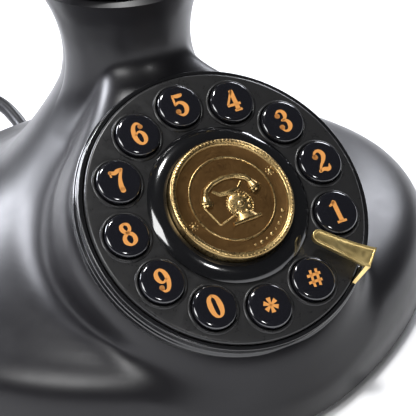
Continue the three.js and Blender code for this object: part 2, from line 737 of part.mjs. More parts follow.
addPiece('main_board', box(0, circuitY, circuitZ + boardThickness / 2, circuitWidth, circuitDepth, boardThickness),
  'board');
const switchBottom = circuitZ + boardThickness + seam;
const switchTop = leverZ - leverThickness / 2 - 3.4; // room for the lever's tail to come down
addPiece('hook_switch', box(0, leverPivotY + leverTail - 4, (switchBottom + switchTop) / 2, 10, 7,
  switchTop - switchBottom), 'plate');
addPiece('ballast_weight', box(ballastX, ballastY, plateTop + seam + ballastHeight / 2, ballastWidth, ballastDepth,
  ballastHeight), 'steel');
addPiece('ringer_gong', makeGong(), 'brass').position.set(gongX, gongY, gongZ);
const striker = addPiece('ringer_striker', makeStriker(), 'brass');
striker.position.set(strikerX, strikerY, gongZ + 4);
striker.rotation.z = strikerAngle;
addPiece('ringer_coil', makeCoil(), 'copper').position.set(strikerX, strikerY - 5, plateTop + seam + coilRadius);

// ---- Sockets, switch and cord ----

const shellBack = baseHalfDepth - 0.8;

function makeJack() {
  const middle = shellBack - jackDepth / 2;
  const block = box(0, middle, 0, jackWidth, jackDepth, jackHeight);
  const mouth = box(0, shellBack, 0, jackMouthWidth, 2 * (jackDepth - 3), jackMouthHeight);
  return cutFrom(block, mouth);
}

function makePlug() {
  const inside = shellBack - jackDepth + 4;
  const end = baseHalfDepth + plugStickOut;
  const width = jackMouthWidth - 2 * seam;
  const height = jackMouthHeight - 2 * seam;
  return box(0, (inside + end) / 2, 0, width, end - inside, height);
}

// A rubber sleeve that carries the cord into the mouthpiece end of the handset
function makeBoot() {
  const inner = cupNeck + 1.2;
  return turned([[0, inner], [bootRadius, inner], [bootRadius, inner + 3],
    [tailDiameter / 2 + 0.3, inner + bootLength], [0, inner + bootLength]], 14)
    .rotateY(-Math.PI / 2).translate(-cupX, 0, 0);
}

function makeSwitch() {
  const skirtBack = (x) => baseHalfDepth * Math.sqrt(1 - (x / baseHalfWidth) ** 2);
  const inside = skirtBack(Math.abs(switchX) + 6 + switchTravel) - wall - 3.2;
  const knobEnd = skirtBack(switchX) + 2;
  const knob = box(0, (inside - 1 + knobEnd) / 2, 0, 5, knobEnd - inside + 1, 4);
  return joined(knob, box(0, inside - 1.5, 0, 12, 3, 6));
}

const bootZ = axisZ - 4;
const curlTop = bootZ - 41.6; // where the coils end
const behind = baseHalfDepth;
const beside = -baseHalfWidth;
const tailLow = [
  [0, behind + 12.4, jackZ + 1], [-0.2, behind + 17, jackZ + 2.6], [-0.8, behind + 22, jackZ + 4.4],
  [-2, behind + 27.5, jackZ + 6.3], [-4.6, behind + 33.5, jackZ + 7.7], [-9, behind + 39.3, 22],
  [-15, behind + 44, 19], [-21.5, behind + 46.8, 13.8], [-29, behind + 48.6, 9.2],
  [-37.5, behind + 49.4, 6.8], [-46, behind + 49, 6],
];
const curl = [
  [-46.4, behind + 48.97, 5.9], [-58, behind + 47.4, 5.7], [beside + 30, behind + 42.4, 5.7],
  [beside + 14, behind + 33.6, 5.7], [beside, behind + 21.4, 5.7], [beside - 11.4, behind + 6, 5.7],
  [beside - 19.4, behind - 11.6, 5.7], [beside - 23.6, 68, 5.8], [beside - 24.8, 51, 7.2],
  [beside - 24.5, 36, 12], [beside - 23, 24, 0.17 * curlTop], [beside - 20.5, 14.5, 0.28 * curlTop],
  [-cupX - 41.8, 8, 0.42 * curlTop], [-cupX - 39.2, 4, 0.56 * curlTop], [-cupX - 37, 1.6, 0.71 * curlTop],
  [-cupX - 35.6, 0.5, 0.86 * curlTop], [-cupX - 35.2, 0.2, curlTop],
];
const tailHigh = [
  [-cupX - 35.2, 0.2, curlTop + 0.4], [-cupX - 35.2, 0, bootZ - 33], [-cupX - 35, 0, bootZ - 24],
  [-cupX - 34, 0, bootZ - 15.5], [-cupX - 32, 0, bootZ - 8], [-cupX - 29.7, 0, bootZ - 3.6],
  [-cupX - 26.8, 0, bootZ - 1],
];

function cordTube(points, diameter, steps) {
  const curve = new THREE.CatmullRomCurve3(points.map((point) => new THREE.Vector3(...point)));
  return tube(curve, diameter, 8, steps);
}

addPiece('handset_jack', makeJack(), 'plate').position.set(handsetJackX, 0, jackZ);
addPiece('line_jack', makeJack(), 'plate').position.set(lineJackX, 0, jackZ);
addPiece('ringer_switch', makeSwitch(), 'plate').position.set(switchX, 0, jackZ);
addPiece('cord_plug', makePlug(), 'plate').position.set(handsetJackX, 0, jackZ);
addPiece('cord_tail_base', cordTube(tailLow, tailDiameter, 8), 'cord');
addPiece('cord_curl', cordTube(curl, curlDiameter, 20), 'cord');
addPiece('cord_tail_handset', cordTube(tailHigh, tailDiameter, 6), 'cord');
addPiece('cord_boot', makeBoot(), 'rubber').position.z = bootZ;

export default telephone;
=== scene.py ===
import math

import bmesh
import bpy
import numpy as np
from mathutils import Matrix, Vector


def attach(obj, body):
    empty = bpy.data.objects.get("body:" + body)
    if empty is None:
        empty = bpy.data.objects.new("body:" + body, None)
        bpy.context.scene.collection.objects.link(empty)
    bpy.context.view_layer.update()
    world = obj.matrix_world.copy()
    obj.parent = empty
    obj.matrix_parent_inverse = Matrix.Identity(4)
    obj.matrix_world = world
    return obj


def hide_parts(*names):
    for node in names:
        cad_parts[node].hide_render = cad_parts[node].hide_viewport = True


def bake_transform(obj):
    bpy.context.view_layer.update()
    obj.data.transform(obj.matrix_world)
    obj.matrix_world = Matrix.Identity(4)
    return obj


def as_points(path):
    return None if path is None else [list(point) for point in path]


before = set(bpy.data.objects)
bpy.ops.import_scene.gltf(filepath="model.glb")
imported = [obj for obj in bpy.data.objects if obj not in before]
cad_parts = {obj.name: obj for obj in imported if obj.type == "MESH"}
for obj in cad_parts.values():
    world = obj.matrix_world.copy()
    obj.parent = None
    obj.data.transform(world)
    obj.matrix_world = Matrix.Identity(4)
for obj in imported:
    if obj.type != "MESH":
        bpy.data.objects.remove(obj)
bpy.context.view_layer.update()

# A cradle telephone with a round push-button dial. Sizes are in millimetres and become metres when a piece
# is finished. The neck's axis stands a little behind the origin.

mm = 0.001
axisY = 3
deg = math.radians


# Helpers

def addToScene(name, data):
    made = bpy.data.objects.new(name, data)
    bpy.context.scene.collection.objects.link(made)
    return made


def turn(bm, profile, steps=72, sweep=360, closed=False):
    # Spins a chain of [radius, height] points about Z and gives back the new faces
    before = set(bm.faces)
    verts = [bm.verts.new((radius, 0, height)) for radius, height in profile]
    pairs = list(zip(verts, verts[1:])) + ([(verts[-1], verts[0])] if closed else [])
    edges = [bm.edges.new(pair) for pair in pairs]
    bmesh.ops.spin(bm, geom=verts + edges, cent=(0, 0, 0), axis=(0, 0, 1), angle=deg(sweep), steps=steps,
                   use_merge=sweep == 360, dvec=(0, 0, 0))
    bmesh.ops.remove_doubles(bm, verts=bm.verts, dist=1e-4)
    return [face for face in bm.faces if face not in before]


def roundEdges(bm, width, limit=25, segments=3, faces=None):
    # Bevels every edge that is sharper than the limit
    chosen = set(faces) if faces is not None else None
    sharp = [edge for edge in bm.edges if len(edge.link_faces) == 2 and edge.calc_face_angle(0) > deg(limit)
             and (chosen is None or any(face in chosen for face in edge.link_faces))]
    bmesh.ops.bevel(bm, geom=sharp, offset=width, offset_type="OFFSET", affect="EDGES", segments=segments,
                    profile=0.5, material=-1, clamp_overlap=True)


def markEdges(bm, crease):
    for edge in bm.edges:
        edge.smooth = len(edge.link_faces) == 2 and edge.calc_face_angle(0) < deg(crease)


def sweep(bm, sides, stations):
    # A capped circle extruded from station to station; each station says where a point of the circle goes
    ring = bmesh.ops.create_circle(bm, cap_ends=True, segments=sides, radius=1)["verts"]
    end = next(iter(facesOf({"verts": ring})))
    homes = [vert.co.copy() for vert in end.verts]
    faces = {end}
    for i, station in enumerate(stations):
        if i:
            lifted = bmesh.ops.extrude_face_region(bm, geom=[end])["geom"]
            end = [part for part in lifted if isinstance(part, bmesh.types.BMFace)][0]
        for vert, home in zip(end.verts, homes):
            vert.co = station(home)
        faces |= {face for vert in end.verts for face in vert.link_faces}
    return faces


def addDrill(bm, place, radius, depth, segments):
    bmesh.ops.create_cone(bm, cap_ends=True, segments=segments, radius1=radius, radius2=radius, depth=depth,
                          matrix=Matrix.Translation(place))


def onCircle(radius, angle, height):
    return Vector((radius * math.cos(deg(angle)), radius * math.sin(deg(angle)), height))


def facesOf(made):
    return {face for vert in made["verts"] for face in vert.link_faces}


def finishPiece(name, bm, finishes, body, stands=(), place=None, crease=38, flip=True):
    # Turns a bmesh in millimetres into a finished piece in metres
    bmesh.ops.remove_doubles(bm, verts=bm.verts, dist=1e-4)
    if flip:
        bmesh.ops.recalc_face_normals(bm, faces=bm.faces)
    bm.transform((place or Matrix.Identity(4)))
    bm.transform(Matrix.Scale(mm, 4))
    for face in bm.faces:
        face.smooth = True
    markEdges(bm, crease)
    mesh = bpy.data.meshes.new(name)
    bm.to_mesh(mesh)
    bm.free()
    for finish in finishes if isinstance(finishes, (list, tuple)) else [finishes]:
        mesh.materials.append(finish)
    piece = addToScene(name, mesh)
    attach(piece, body)
    if stands:
        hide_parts(*stands)
    return piece


def applyModifiers(piece):
    graph = bpy.context.evaluated_depsgraph_get()
    mesh = bpy.data.meshes.new_from_object(piece.evaluated_get(graph))
    piece.modifiers.clear()
    piece.data = mesh


def cutWith(piece, cutterShape, place=None, crease=25):
    # Takes a bmesh in millimetres away from a piece, then marks the sharp edges that leaves
    cutterShape.transform(Matrix.Scale(mm, 4) @ (place or Matrix.Identity(4)))
    cutterMesh = bpy.data.meshes.new(piece.name + "Cutter")
    cutterShape.to_mesh(cutterMesh)
    cutterShape.free()
    cutter = addToScene(piece.name + "Cutter", cutterMesh)
    boolean = piece.modifiers.new("Cut", "BOOLEAN")
    boolean.object = cutter
    boolean.operation = "DIFFERENCE"
    boolean.solver = "EXACT"
    applyModifiers(piece)
    bpy.data.objects.remove(cutter)
    bm = bmesh.new()
    bm.from_mesh(piece.data)
    markEdges(bm, crease)
    bm.to_mesh(piece.data)
    bm.free()


# Camera

view = {"eye": (-0.220, -0.481, 0.3478), "right": (0.874, -0.4831, -0.0543), "up": (0.289, 0.427, 0.857),
        "lens": 147.1, "sensor": 36}


def makeCamera():
    data = bpy.data.cameras.new("camera")
    data.lens = view["lens"]
    data.sensor_width = view["sensor"]
    data.clip_start = 0.01
    camera = addToScene("camera", data)
    right = Vector(view["right"]).normalized()
    back = right.cross(Vector(view["up"])).normalized()
    up = back.cross(right)
    turned = Matrix((right, up, back)).transposed().to_4x4()
    camera.matrix_world = Matrix.Translation(view["eye"]) @ turned
    bpy.context.scene.camera = camera


makeCamera()
print("camera placed")


# Finishes

def startFinish(name):
    finish = bpy.data.materials.new(name)
    finish.use_nodes = True
    nodes = finish.node_tree.nodes
    return finish, nodes, finish.node_tree.links, nodes["Principled BSDF"]


def addNode(nodes, kind, **values):
    node = nodes.new(kind)
    for key, value in values.items():
        if hasattr(node, key) and not isinstance(value, dict):
            setattr(node, key, value)
        else:
            for socket, number in value.items():
                node.inputs[socket].default_value = number
    return node


def speckle(nodes, links, scale, detail=4, stretch=None, roughness=0.55):
    # Noise on the piece's own coordinates, with an optional stretch along one axis
    coords = addNode(nodes, "ShaderNodeTexCoord")
    noiseNode = addNode(nodes, "ShaderNodeTexNoise", inputs={"Scale": scale, "Detail": detail,
                                                             "Roughness": roughness})
    if stretch:
        mapping = addNode(nodes, "ShaderNodeMapping", inputs={"Scale": stretch})
        links.new(coords.outputs["Object"], mapping.inputs["Vector"])
        links.new(mapping.outputs["Vector"], noiseNode.inputs["Vector"])
    else:
        links.new(coords.outputs["Object"], noiseNode.inputs["Vector"])
    return noiseNode.outputs["Fac"]


def ranged(nodes, links, source, low, high, fromLow=0.3, fromHigh=0.7):
    node = addNode(nodes, "ShaderNodeMapRange", inputs={"From Min": fromLow, "From Max": fromHigh,
                                                        "To Min": low, "To Max": high})
    links.new(source, node.inputs["Value"])
    return node.outputs["Result"]


def blended(nodes, links, factor, first, second):
    node = addNode(nodes, "ShaderNodeMix", data_type="RGBA")
    node.inputs["A"].default_value = (*first, 1)
    node.inputs["B"].default_value = (*second, 1)
    links.new(factor, node.inputs["Factor"])
    return node.outputs["Result"]


def bumped(nodes, links, shader, source, strength, distance):
    node = addNode(nodes, "ShaderNodeBump", inputs={"Strength": strength, "Distance": distance})
    links.new(source, node.inputs["Height"])
    links.new(node.outputs["Normal"], shader.inputs["Normal"])


def plastic(name, color, roughness, spread=0.05, grain=900, bump=0.06, coat=0.0, coatRoughness=0.08, patch=22,
            tint=1.5, specular=0.5):
    # Moulded plastic: faint colour drift, polish that varies over the surface and a fine grain
    finish, nodes, links, shader = startFinish(name)
    drift = speckle(nodes, links, patch, 3)
    links.new(blended(nodes, links, drift, color, [part * tint for part in color]), shader.inputs["Base Color"])
    polish = speckle(nodes, links, patch * 6, 6, roughness=0.7)
    links.new(ranged(nodes, links, polish, roughness - spread, roughness + spread), shader.inputs["Roughness"])
    bumped(nodes, links, shader, speckle(nodes, links, grain, 2), bump, 0.00004)
    shader.inputs["IOR"].default_value = 1.49
    shader.inputs["Specular IOR Level"].default_value = specular
    shader.inputs["Coat Weight"].default_value = coat
    shader.inputs["Coat Roughness"].default_value = coatRoughness
    return finish


def metal(name, color, roughness, tarnish=None, tarnishShare=0.35, grain=700, bump=0.12, stretch=None,
          spread=0.07):
    # Metal with polish marks, and a darker tarnish in patches where one is given
    finish, nodes, links, shader = startFinish(name)
    shader.inputs["Metallic"].default_value = 1
    patches = ranged(nodes, links, speckle(nodes, links, 160, 6), 0, 1, 0.62 - tarnishShare, 0.75)
    links.new(blended(nodes, links, patches, color, tarnish or [part * 0.8 for part in color]),
              shader.inputs["Base Color"])
    marks = speckle(nodes, links, grain, 4, stretch)
    links.new(ranged(nodes, links, marks, roughness - spread, roughness + spread), shader.inputs["Roughness"])
    bumped(nodes, links, shader, marks, bump, 0.00005)
    return finish


blackGloss = plastic("polishedBlack", (0.0055, 0.0052, 0.0062), 0.36, 0.03, grain=500, bump=0.03, coat=0.1,
                     coatRoughness=0.3, specular=0.3)
handsetGloss = plastic("handsetBlack", (0.0055, 0.0052, 0.0062), 0.19, 0.03, grain=500, bump=0.03, coat=0.6,
                       coatRoughness=0.06)
bezelGloss = plastic("bezelBlack", (0.006, 0.006, 0.0065), 0.16, 0.03, grain=700, bump=0.03, coat=0.5)
plateSatin = plastic("faceplateSatin", (0.012, 0.0118, 0.012), 0.3, 0.05, grain=2400, bump=0.1, patch=60)
hubGloss = plastic("hubBlack", (0.005, 0.005, 0.0055), 0.12, 0.02, grain=600, bump=0.02, coat=0.8,
                   coatRoughness=0.03)
keyGloss = plastic("keyBlack", (0.006, 0.006, 0.008), 0.1, 0.02, grain=600, bump=0.015, coat=1.0,
                   coatRoughness=0.02)
keyPrint = plastic("keyPrint", (0.62, 0.27, 0.07), 0.3, 0.05, grain=1500, bump=0.05, coat=1.0,
                   coatRoughness=0.02, patch=400, tint=1.25)
baseGrain = plastic("baseGrain", (0.014, 0.014, 0.015), 0.55, 0.06, grain=1400, bump=0.5)
innerPlastic = plastic("mechanismBlack", (0.02, 0.02, 0.022), 0.42, 0.06, grain=900, bump=0.2)
socketPlastic = plastic("socketBlack", (0.012, 0.012, 0.013), 0.4, 0.06, grain=1200, bump=0.2)
plugPlastic = plastic("plugBlack", (0.014, 0.014, 0.017), 0.3, 0.05, grain=1200, bump=0.15)
rubber = plastic("rubberBlack", (0.013, 0.013, 0.014), 0.75, 0.06, grain=1600, bump=0.5)
silicone = plastic("siliconeGrey", (0.2, 0.2, 0.21), 0.6, 0.05, grain=800, bump=0.2)
boardGreen = plastic("boardGreen", (0.012, 0.09, 0.035), 0.4, 0.08, grain=600, bump=0.3, patch=120, tint=1.8)
cordJacket = plastic("cordJacket", (0.012, 0.012, 0.014), 0.36, 0.06, grain=1500, bump=0.2)
polishedBrass = metal("polishedBrass", (0.8, 0.62, 0.27), 0.36, (0.6, 0.44, 0.17), 0.2, bump=0.05)
cradleBrass = metal("cradleBrass", (0.7, 0.53, 0.24), 0.18, (0.42, 0.29, 0.11), 0.25, bump=0.06)
medalGold = metal("medalGold", (0.62, 0.45, 0.2), 0.3, (0.24, 0.15, 0.06), 0.35, grain=1500, bump=0.3)
medalField = metal("medalField", (0.09, 0.046, 0.017), 0.42, (0.2, 0.11, 0.04), 0.5, grain=2200, bump=0.9,
                   spread=0.12)
plainSteel = metal("plainSteel", (0.5, 0.5, 0.51), 0.34, (0.36, 0.36, 0.37), 0.2, stretch=(1, 1, 9))
darkIron = metal("rawIron", (0.14, 0.14, 0.145), 0.55, (0.09, 0.075, 0.065), 0.3, bump=0.4)
canSatin = metal("pressedCan", (0.6, 0.6, 0.61), 0.32, (0.48, 0.48, 0.5), 0.2)
gongBrass = metal("gongBrass", (0.6, 0.46, 0.21), 0.26, (0.38, 0.27, 0.12), 0.3)
windingCopper = metal("windingCopper", (0.5, 0.2, 0.08), 0.35, (0.3, 0.11, 0.05), 0.3, grain=400,
                      stretch=(1, 12, 1))
print("finishes made")


# The handset's cord: a straight tail from the plug, the coils laid round the body, and a tail into the handset

cordRoute = {
    "tailDiameter": 5.8, "coilDiameter": 10.6, "wire": 3.3, "pitch": 3.75,
    "tailLow": [(0, 112.1, 15.5), (-0.2, 117, 17.1), (-0.8, 122, 18.9), (-2, 127.5, 20.8), (-4.6, 133.5, 22.2),
                (-9, 139.3, 22), (-15, 144, 19), (-21.5, 146.8, 13.8), (-29, 148.6, 9.2), (-37.5, 149.4, 6.8),
                (-46, 149, 6)],
    "coils": [(-46.4, 148.97, 5.9), (-58, 147.4, 5.7), (-74, 142.4, 5.7), (-90, 133.6, 5.7), (-104, 121.4, 5.7),
              (-115.4, 106, 5.7), (-123.4, 88.4, 5.7), (-127.6, 71, 5.8), (-128.8, 54, 7.2), (-128.5, 39, 12),
              (-127, 27, 21.66), (-124.5, 17.5, 35.67), (-121.8, 11, 53.5), (-119.2, 7, 71.3),
              (-117, 4.6, 90.45), (-115.6, 3.5, 109.56), (-115.2, 3.2, 127.4)],
    "tailHigh": [(-115.2, 3.2, 127.8), (-115.2, 3, 136), (-115, 3, 145), (-114, 3, 153.5), (-112, 3, 161),
                 (-109.7, 3, 165.4), (-106.8, 3, 168)],
}


def smoothPath(points, steps):
    # Points on a smooth curve through the given ones, evenly spaced along it
    spots = [Vector(point) for point in points]
    ends = [spots[0] * 2 - spots[1]] + spots + [spots[-1] * 2 - spots[-2]]
    fine = []
    for before, start, end, after in zip(ends, ends[1:], ends[2:], ends[3:]):
        for step in range(24):
            t = step / 24
            curved = (2 * before - 5 * start + 4 * end - after) * t ** 2
            fine.append(0.5 * (2 * start + (end - before) * t + curved
                               + (3 * start - before - 3 * end + after) * t ** 3))
    fine.append(spots[-1])
    travelled = [0]
    for a, b in zip(fine, fine[1:]):
        travelled.append(travelled[-1] + (b - a).length)
    places = np.linspace(0, travelled[-1], steps + 1)
    columns = [np.interp(places, travelled, [spot[axis] for spot in fine]) for axis in range(3)]
    return [Vector(spot) for spot in zip(*columns)], travelled[-1]


def layCord(name, points, diameter):
    # A plain round cord as one smooth spline
    data = bpy.data.curves.new(name, "CURVE")
    data.dimensions = "3D"
    data.bevel_depth = diameter / 2 * mm
    data.bevel_resolution = 4
    data.resolution_u = 6
    data.use_fill_caps = True
    spline = data.splines.new("BEZIER")
    spline.bezier_points.add(len(points) - 1)
    for knot, point in zip(spline.bezier_points, points):
        knot.co = Vector(point) * mm
        knot.handle_left_type = knot.handle_right_type = "AUTO"
    data.materials.append(cordJacket)
    return addToScene(name, data)


def windCord(name, points):
    # The coils: a round wire wound about the route, as a mesh
    axis, length = smoothPath(points, 300)
    turns = round(length / cordRoute["pitch"])
    radius = (cordRoute["coilDiameter"] - cordRoute["wire"]) / 2
    data = bpy.data.curves.new(name, "CURVE")
    data.dimensions = "3D"
    data.bevel_depth = cordRoute["wire"] / 2 * mm
    data.bevel_resolution = 1
    data.use_fill_caps = True
    spline = data.splines.new("POLY")
    count = turns * 14
    spline.points.add(count)
    side = Vector((0, 0, 1))
    for i in range(count + 1):
        place = i / count * (len(axis) - 1)
        low = min(int(place), len(axis) - 2)
        spot = axis[low].lerp(axis[low + 1], place - low)
        along = (axis[low + 1] - axis[low]).normalized()
        side = (side - along * side.dot(along)).normalized()
        across = along.cross(side)
        angle = 2 * math.pi * turns * i / count
        fade = min(1, i / 10, (count - i) / 10)  # the wire starts and ends on the route
        wound = spot + (side * math.cos(angle) + across * math.sin(angle)) * radius * fade
        spline.points[i].co = (*(wound * mm), 1)
    helper = addToScene(name + "Guide", data)
    mesh = bpy.data.meshes.new_from_object(helper.evaluated_get(bpy.context.evaluated_depsgraph_get()))
    mesh.name = name
    bpy.data.objects.remove(helper)
    for face in mesh.polygons:
        face.use_smooth = True
    mesh.materials.append(cordJacket)
    return addToScene(name, mesh), [spot * mm for spot in axis[::6]], length * mm


def makeCords():
    tailLow = layCord("cordTailBase", cordRoute["tailLow"], cordRoute["tailDiameter"])
    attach(tailLow, "base")
    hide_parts("cord_tail_base")
    coils, path, coilLength = windCord("cordCoils", cordRoute["coils"])
    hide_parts("cord_curl")
    tailHigh = layCord("cordTailHandset", cordRoute["tailHigh"], cordRoute["tailDiameter"])
    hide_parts("cord_tail_handset")
    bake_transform(coils)
    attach(tailHigh, "handset")
    lowLength = smoothPath(cordRoute["tailLow"], 100)[1] * mm
    highLength = smoothPath(cordRoute["tailHigh"], 100)[1] * mm
    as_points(path)


makeCords()
print("cords laid")


# The body: a flared bell with the dial's boss growing out of its front

shape = {
    "halfWidth": 104, "halfDepth": 97, "power": 1.9, "swell": 6, "swellSpread": 38, "foot": 3,
    "neckRadius": 19.6, "neckHeight": 100, "crownRadius": 27, "crownHeight": 126, "wall": 2.6,
    "bossBlend": 10, "bossRound": 4, "bossDrop": 6, "bossMargin": 1.5, "slope": 40, "dialY": -67.7, "dialZ": 67.5,
    "bezel": 48.9, "segments": 240, "levels": 84, "socketWidth": 15.6, "socketHeight": 12.6, "socketZ": 14.5,
    "easeTop": 116, "easeSteps": 40, "easeWidth": 12, "sockets": (0, 26), "switchX": -32,
    "switchSlot": (10.7, 4.7), "cutDepth": 30,
    "flare": [(0, 1), (0.1, 1.01), (0.2, 0.985), (0.26, 0.9), (0.31, 0.735), (0.37, 0.588), (0.45, 0.445),
              (0.55, 0.303), (0.7, 0.152), (0.85, 0.036), (0.95, 0.004), (1, 0)],
}


def smoothAt(table, place):
    # A smooth curve through [place, value] pairs
    spots, values = np.array(table).T
    place = np.clip(place, spots[0], spots[-1])
    i = np.clip(np.searchsorted(spots, place) - 1, 0, len(spots) - 2)
    rates = np.empty(len(spots))
    rates[1:-1] = (values[2:] - values[:-2]) / (spots[2:] - spots[:-2])
    rates[0] = (values[1] - values[0]) / (spots[1] - spots[0])
    rates[-1] = (values[-1] - values[-2]) / (spots[-1] - spots[-2])
    span = spots[i + 1] - spots[i]
    t = (place - spots[i]) / span
    return ((1 + 2 * t) * (1 - t) ** 2 * values[i] + t * (1 - t) ** 2 * span * rates[i]
            + t ** 2 * (3 - 2 * t) * values[i + 1] + t ** 2 * (t - 1) * span * rates[i + 1])


def bellRadius(angle, height):
    spread = smoothAt(shape["flare"], (height - shape["foot"]) / (shape["neckHeight"] - shape["foot"]))
    above = np.maximum(0, (height - shape["neckHeight"]) / (shape["crownHeight"] - shape["neckHeight"]))
    neck = shape["neckRadius"] + (shape["crownRadius"] - shape["neckRadius"]) * above ** 2
    halfWidth = neck + (shape["halfWidth"] - shape["neckRadius"]) * spread
    halfDepth = neck + (shape["halfDepth"] - shape["neckRadius"]) * spread
    power = shape["power"]
    radius = (np.abs(np.cos(angle) / halfWidth) ** power
              + np.abs(np.sin(angle) / halfDepth) ** power) ** (-1 / power)
    forward = np.maximum(0, -np.sin(angle))
    middle = np.exp(-(radius * np.cos(angle) / shape["swellSpread"]) ** 2)
    return radius + shape["swell"] * spread * forward * middle


def softMin(a, b, softness):
    near = np.maximum(softness - np.abs(a - b), 0) / softness
    return np.minimum(a, b) - near ** 2 * softness / 4


def outside(angle, height, radius):
    # Roughly how far a point is outside the body
    steepness = bellRadius(angle, height + 0.5) - bellRadius(angle, height - 0.5)
    bell = (radius - bellRadius(angle, height)) / np.hypot(1, steepness)
    back = radius * np.sin(angle) - shape["dialY"]
    up = height - shape["dialZ"]
    rise, run = math.sin(deg(shape["slope"])), math.cos(deg(shape["slope"]))
    across = np.hypot(radius * np.cos(angle), back * run + up * rise)
    out = up * run - back * rise
    boss = -softMin(shape["bezel"] + shape["bossMargin"] - across, -out - shape["bossDrop"], shape["bossRound"])
    return softMin(bell, boss, shape["bossBlend"])


def bodyRadius(angle, height):
    high = np.full(angle.shape, 140.0)
    moving = np.full(angle.shape, True)
    while moving.any() and high.min() > 2:
        moving = outside(angle, height, high) > 0
        high = np.where(moving, high - 1, high)
    low = high
    high = low + 1
    for _ in range(14):
        middle = (low + high) / 2
        beyond = outside(angle, height, middle) > 0
        high = np.where(beyond, middle, high)
        low = np.where(beyond, low, middle)
    return low


def easeJoin(bm):
    # Where the boss's top runs into the neck the rings are far apart, so that part is relaxed
    rise, run = math.sin(deg(shape["slope"])), math.cos(deg(shape["slope"]))
    near = []
    for vert in bm.verts:
        back, up = vert.co.y - shape["dialY"], vert.co.z - shape["dialZ"]
        across = math.hypot(vert.co.x, back * run + up * rise)
        out = up * run - back * rise
        top = up > 6 and back > 0 and across > shape["bezel"] - 6
        rim = abs(across - shape["bezel"] - 2) < shape["easeWidth"] and -22 < out < -3
        if rim or (top and vert.co.z < shape["easeTop"] and vert.co.y < 2):
            near.append(vert)
    for _ in range(shape["easeSteps"]):
        bmesh.ops.smooth_vert(bm, verts=near, factor=0.5, use_axis_x=True, use_axis_y=True, use_axis_z=True)
    for vert in near:  # nothing rises above the bezel's seat
        back, up = vert.co.y - shape["dialY"], vert.co.z - shape["dialZ"]
        out = up * run - back * rise
        across = math.hypot(vert.co.x, back * run + up * rise)
        if across < shape["bezel"] + 1 and out > -shape["bossDrop"]:
            vert.co.y += (out + shape["bossDrop"]) * rise
            vert.co.z -= (out + shape["bossDrop"]) * run


def makeBody():
    bm = bmesh.new()
    made = bmesh.ops.create_circle(bm, segments=shape["segments"], radius=1)
    rings = [made["verts"]]
    edges = list(bm.edges)
    for _ in range(shape["levels"]):
        lifted = bmesh.ops.extrude_edge_only(bm, edges=edges)["geom"]
        rings.append([part for part in lifted if isinstance(part, bmesh.types.BMVert)])
        edges = [part for part in lifted if isinstance(part, bmesh.types.BMEdge)]
    share = np.linspace(0, 1, shape["levels"] + 1)
    heights = shape["foot"] + (shape["crownHeight"] - shape["foot"]) * (0.75 * share + 0.25 * share ** 2)
    for ring, height in zip(rings, heights):
        angle = np.array([math.atan2(vert.co.y, vert.co.x) for vert in ring])
        radius = bodyRadius(angle, np.full(angle.shape, height))
        for vert, a, r in zip(ring, angle, radius):
            vert.co = (r * math.cos(a), r * math.sin(a), height)
    easeJoin(bm)
    body = finishPiece("bodyShell", bm, blackGloss, "base", ["housing"],
                       Matrix.Translation((0, axisY, 0)), crease=60)
    wall = body.modifiers.new("Wall", "SOLIDIFY")
    wall.thickness = shape["wall"] * mm
    wall.offset = -1
    applyModifiers(body)
    cutter = bmesh.new()
    back = axisY + shape["halfDepth"]
    openings = [(x, shape["socketWidth"], shape["socketHeight"]) for x in shape["sockets"]]
    for x, width, height in openings + [(shape["switchX"], *shape["switchSlot"])]:
        block = Matrix.Diagonal((width, shape["cutDepth"], height, 1))
        bmesh.ops.create_cube(cutter, size=1, matrix=Matrix.Translation((x, back, shape["socketZ"])) @ block)
    cutWith(body, cutter)


makeBody()
print("body made")


# The dial. Its own frame has the faceplate's top at z = 0 and the dial's up along Y.

dial = {
    "plate": 47.1, "plateThickness": 2.4, "bezel": 48.9, "bezelFoot": 0.9, "bezelLip": 1.3, "bezelSink": 9,
    "keyCircle": 36.5, "keyPitch": 29, "firstKey": -23.5, "key": 7.3, "hole": 7.65, "rise": 2.3, "flange": 0.9,
    "hub": 27.2, "hubHeight": 2.8, "medal": 20.8, "medalHeight": 6.2, "collarRise": 0.45, "collarWidth": 1.1,
}
onDial = (Matrix.Translation((0, shape["dialY"] + axisY, shape["dialZ"]))
          @ Matrix.Rotation(deg(shape["slope"]), 4, "X"))
keyNames = ["1", "2", "3", "4", "5", "6", "7", "8", "9", "0", "star", "hash"]


def keyPlace(index):
    return onCircle(dial["keyCircle"], dial["firstKey"] + index * dial["keyPitch"], 0)


def makeBezel():
    bm = bmesh.new()
    inner, outer = dial["plate"] - 1.8, dial["bezel"]
    lip, low = -dial["bezelLip"], -dial["bezelSink"]
    turn(bm, [(inner, low), (outer + dial["bezelFoot"], low), (outer + dial["bezelFoot"], -5.2), (outer, -4.6),
              (outer, lip), (dial["plate"] + 0.3, lip), (dial["plate"] + 0.3, -dial["plateThickness"] - 0.3),
              (inner, -dial["plateThickness"] - 0.3)], 120, closed=True)
    roundEdges(bm, 0.35, 20, 3)
    finishPiece("dialBezel", bm, bezelGloss, "base", ["dial_bezel"], onDial)


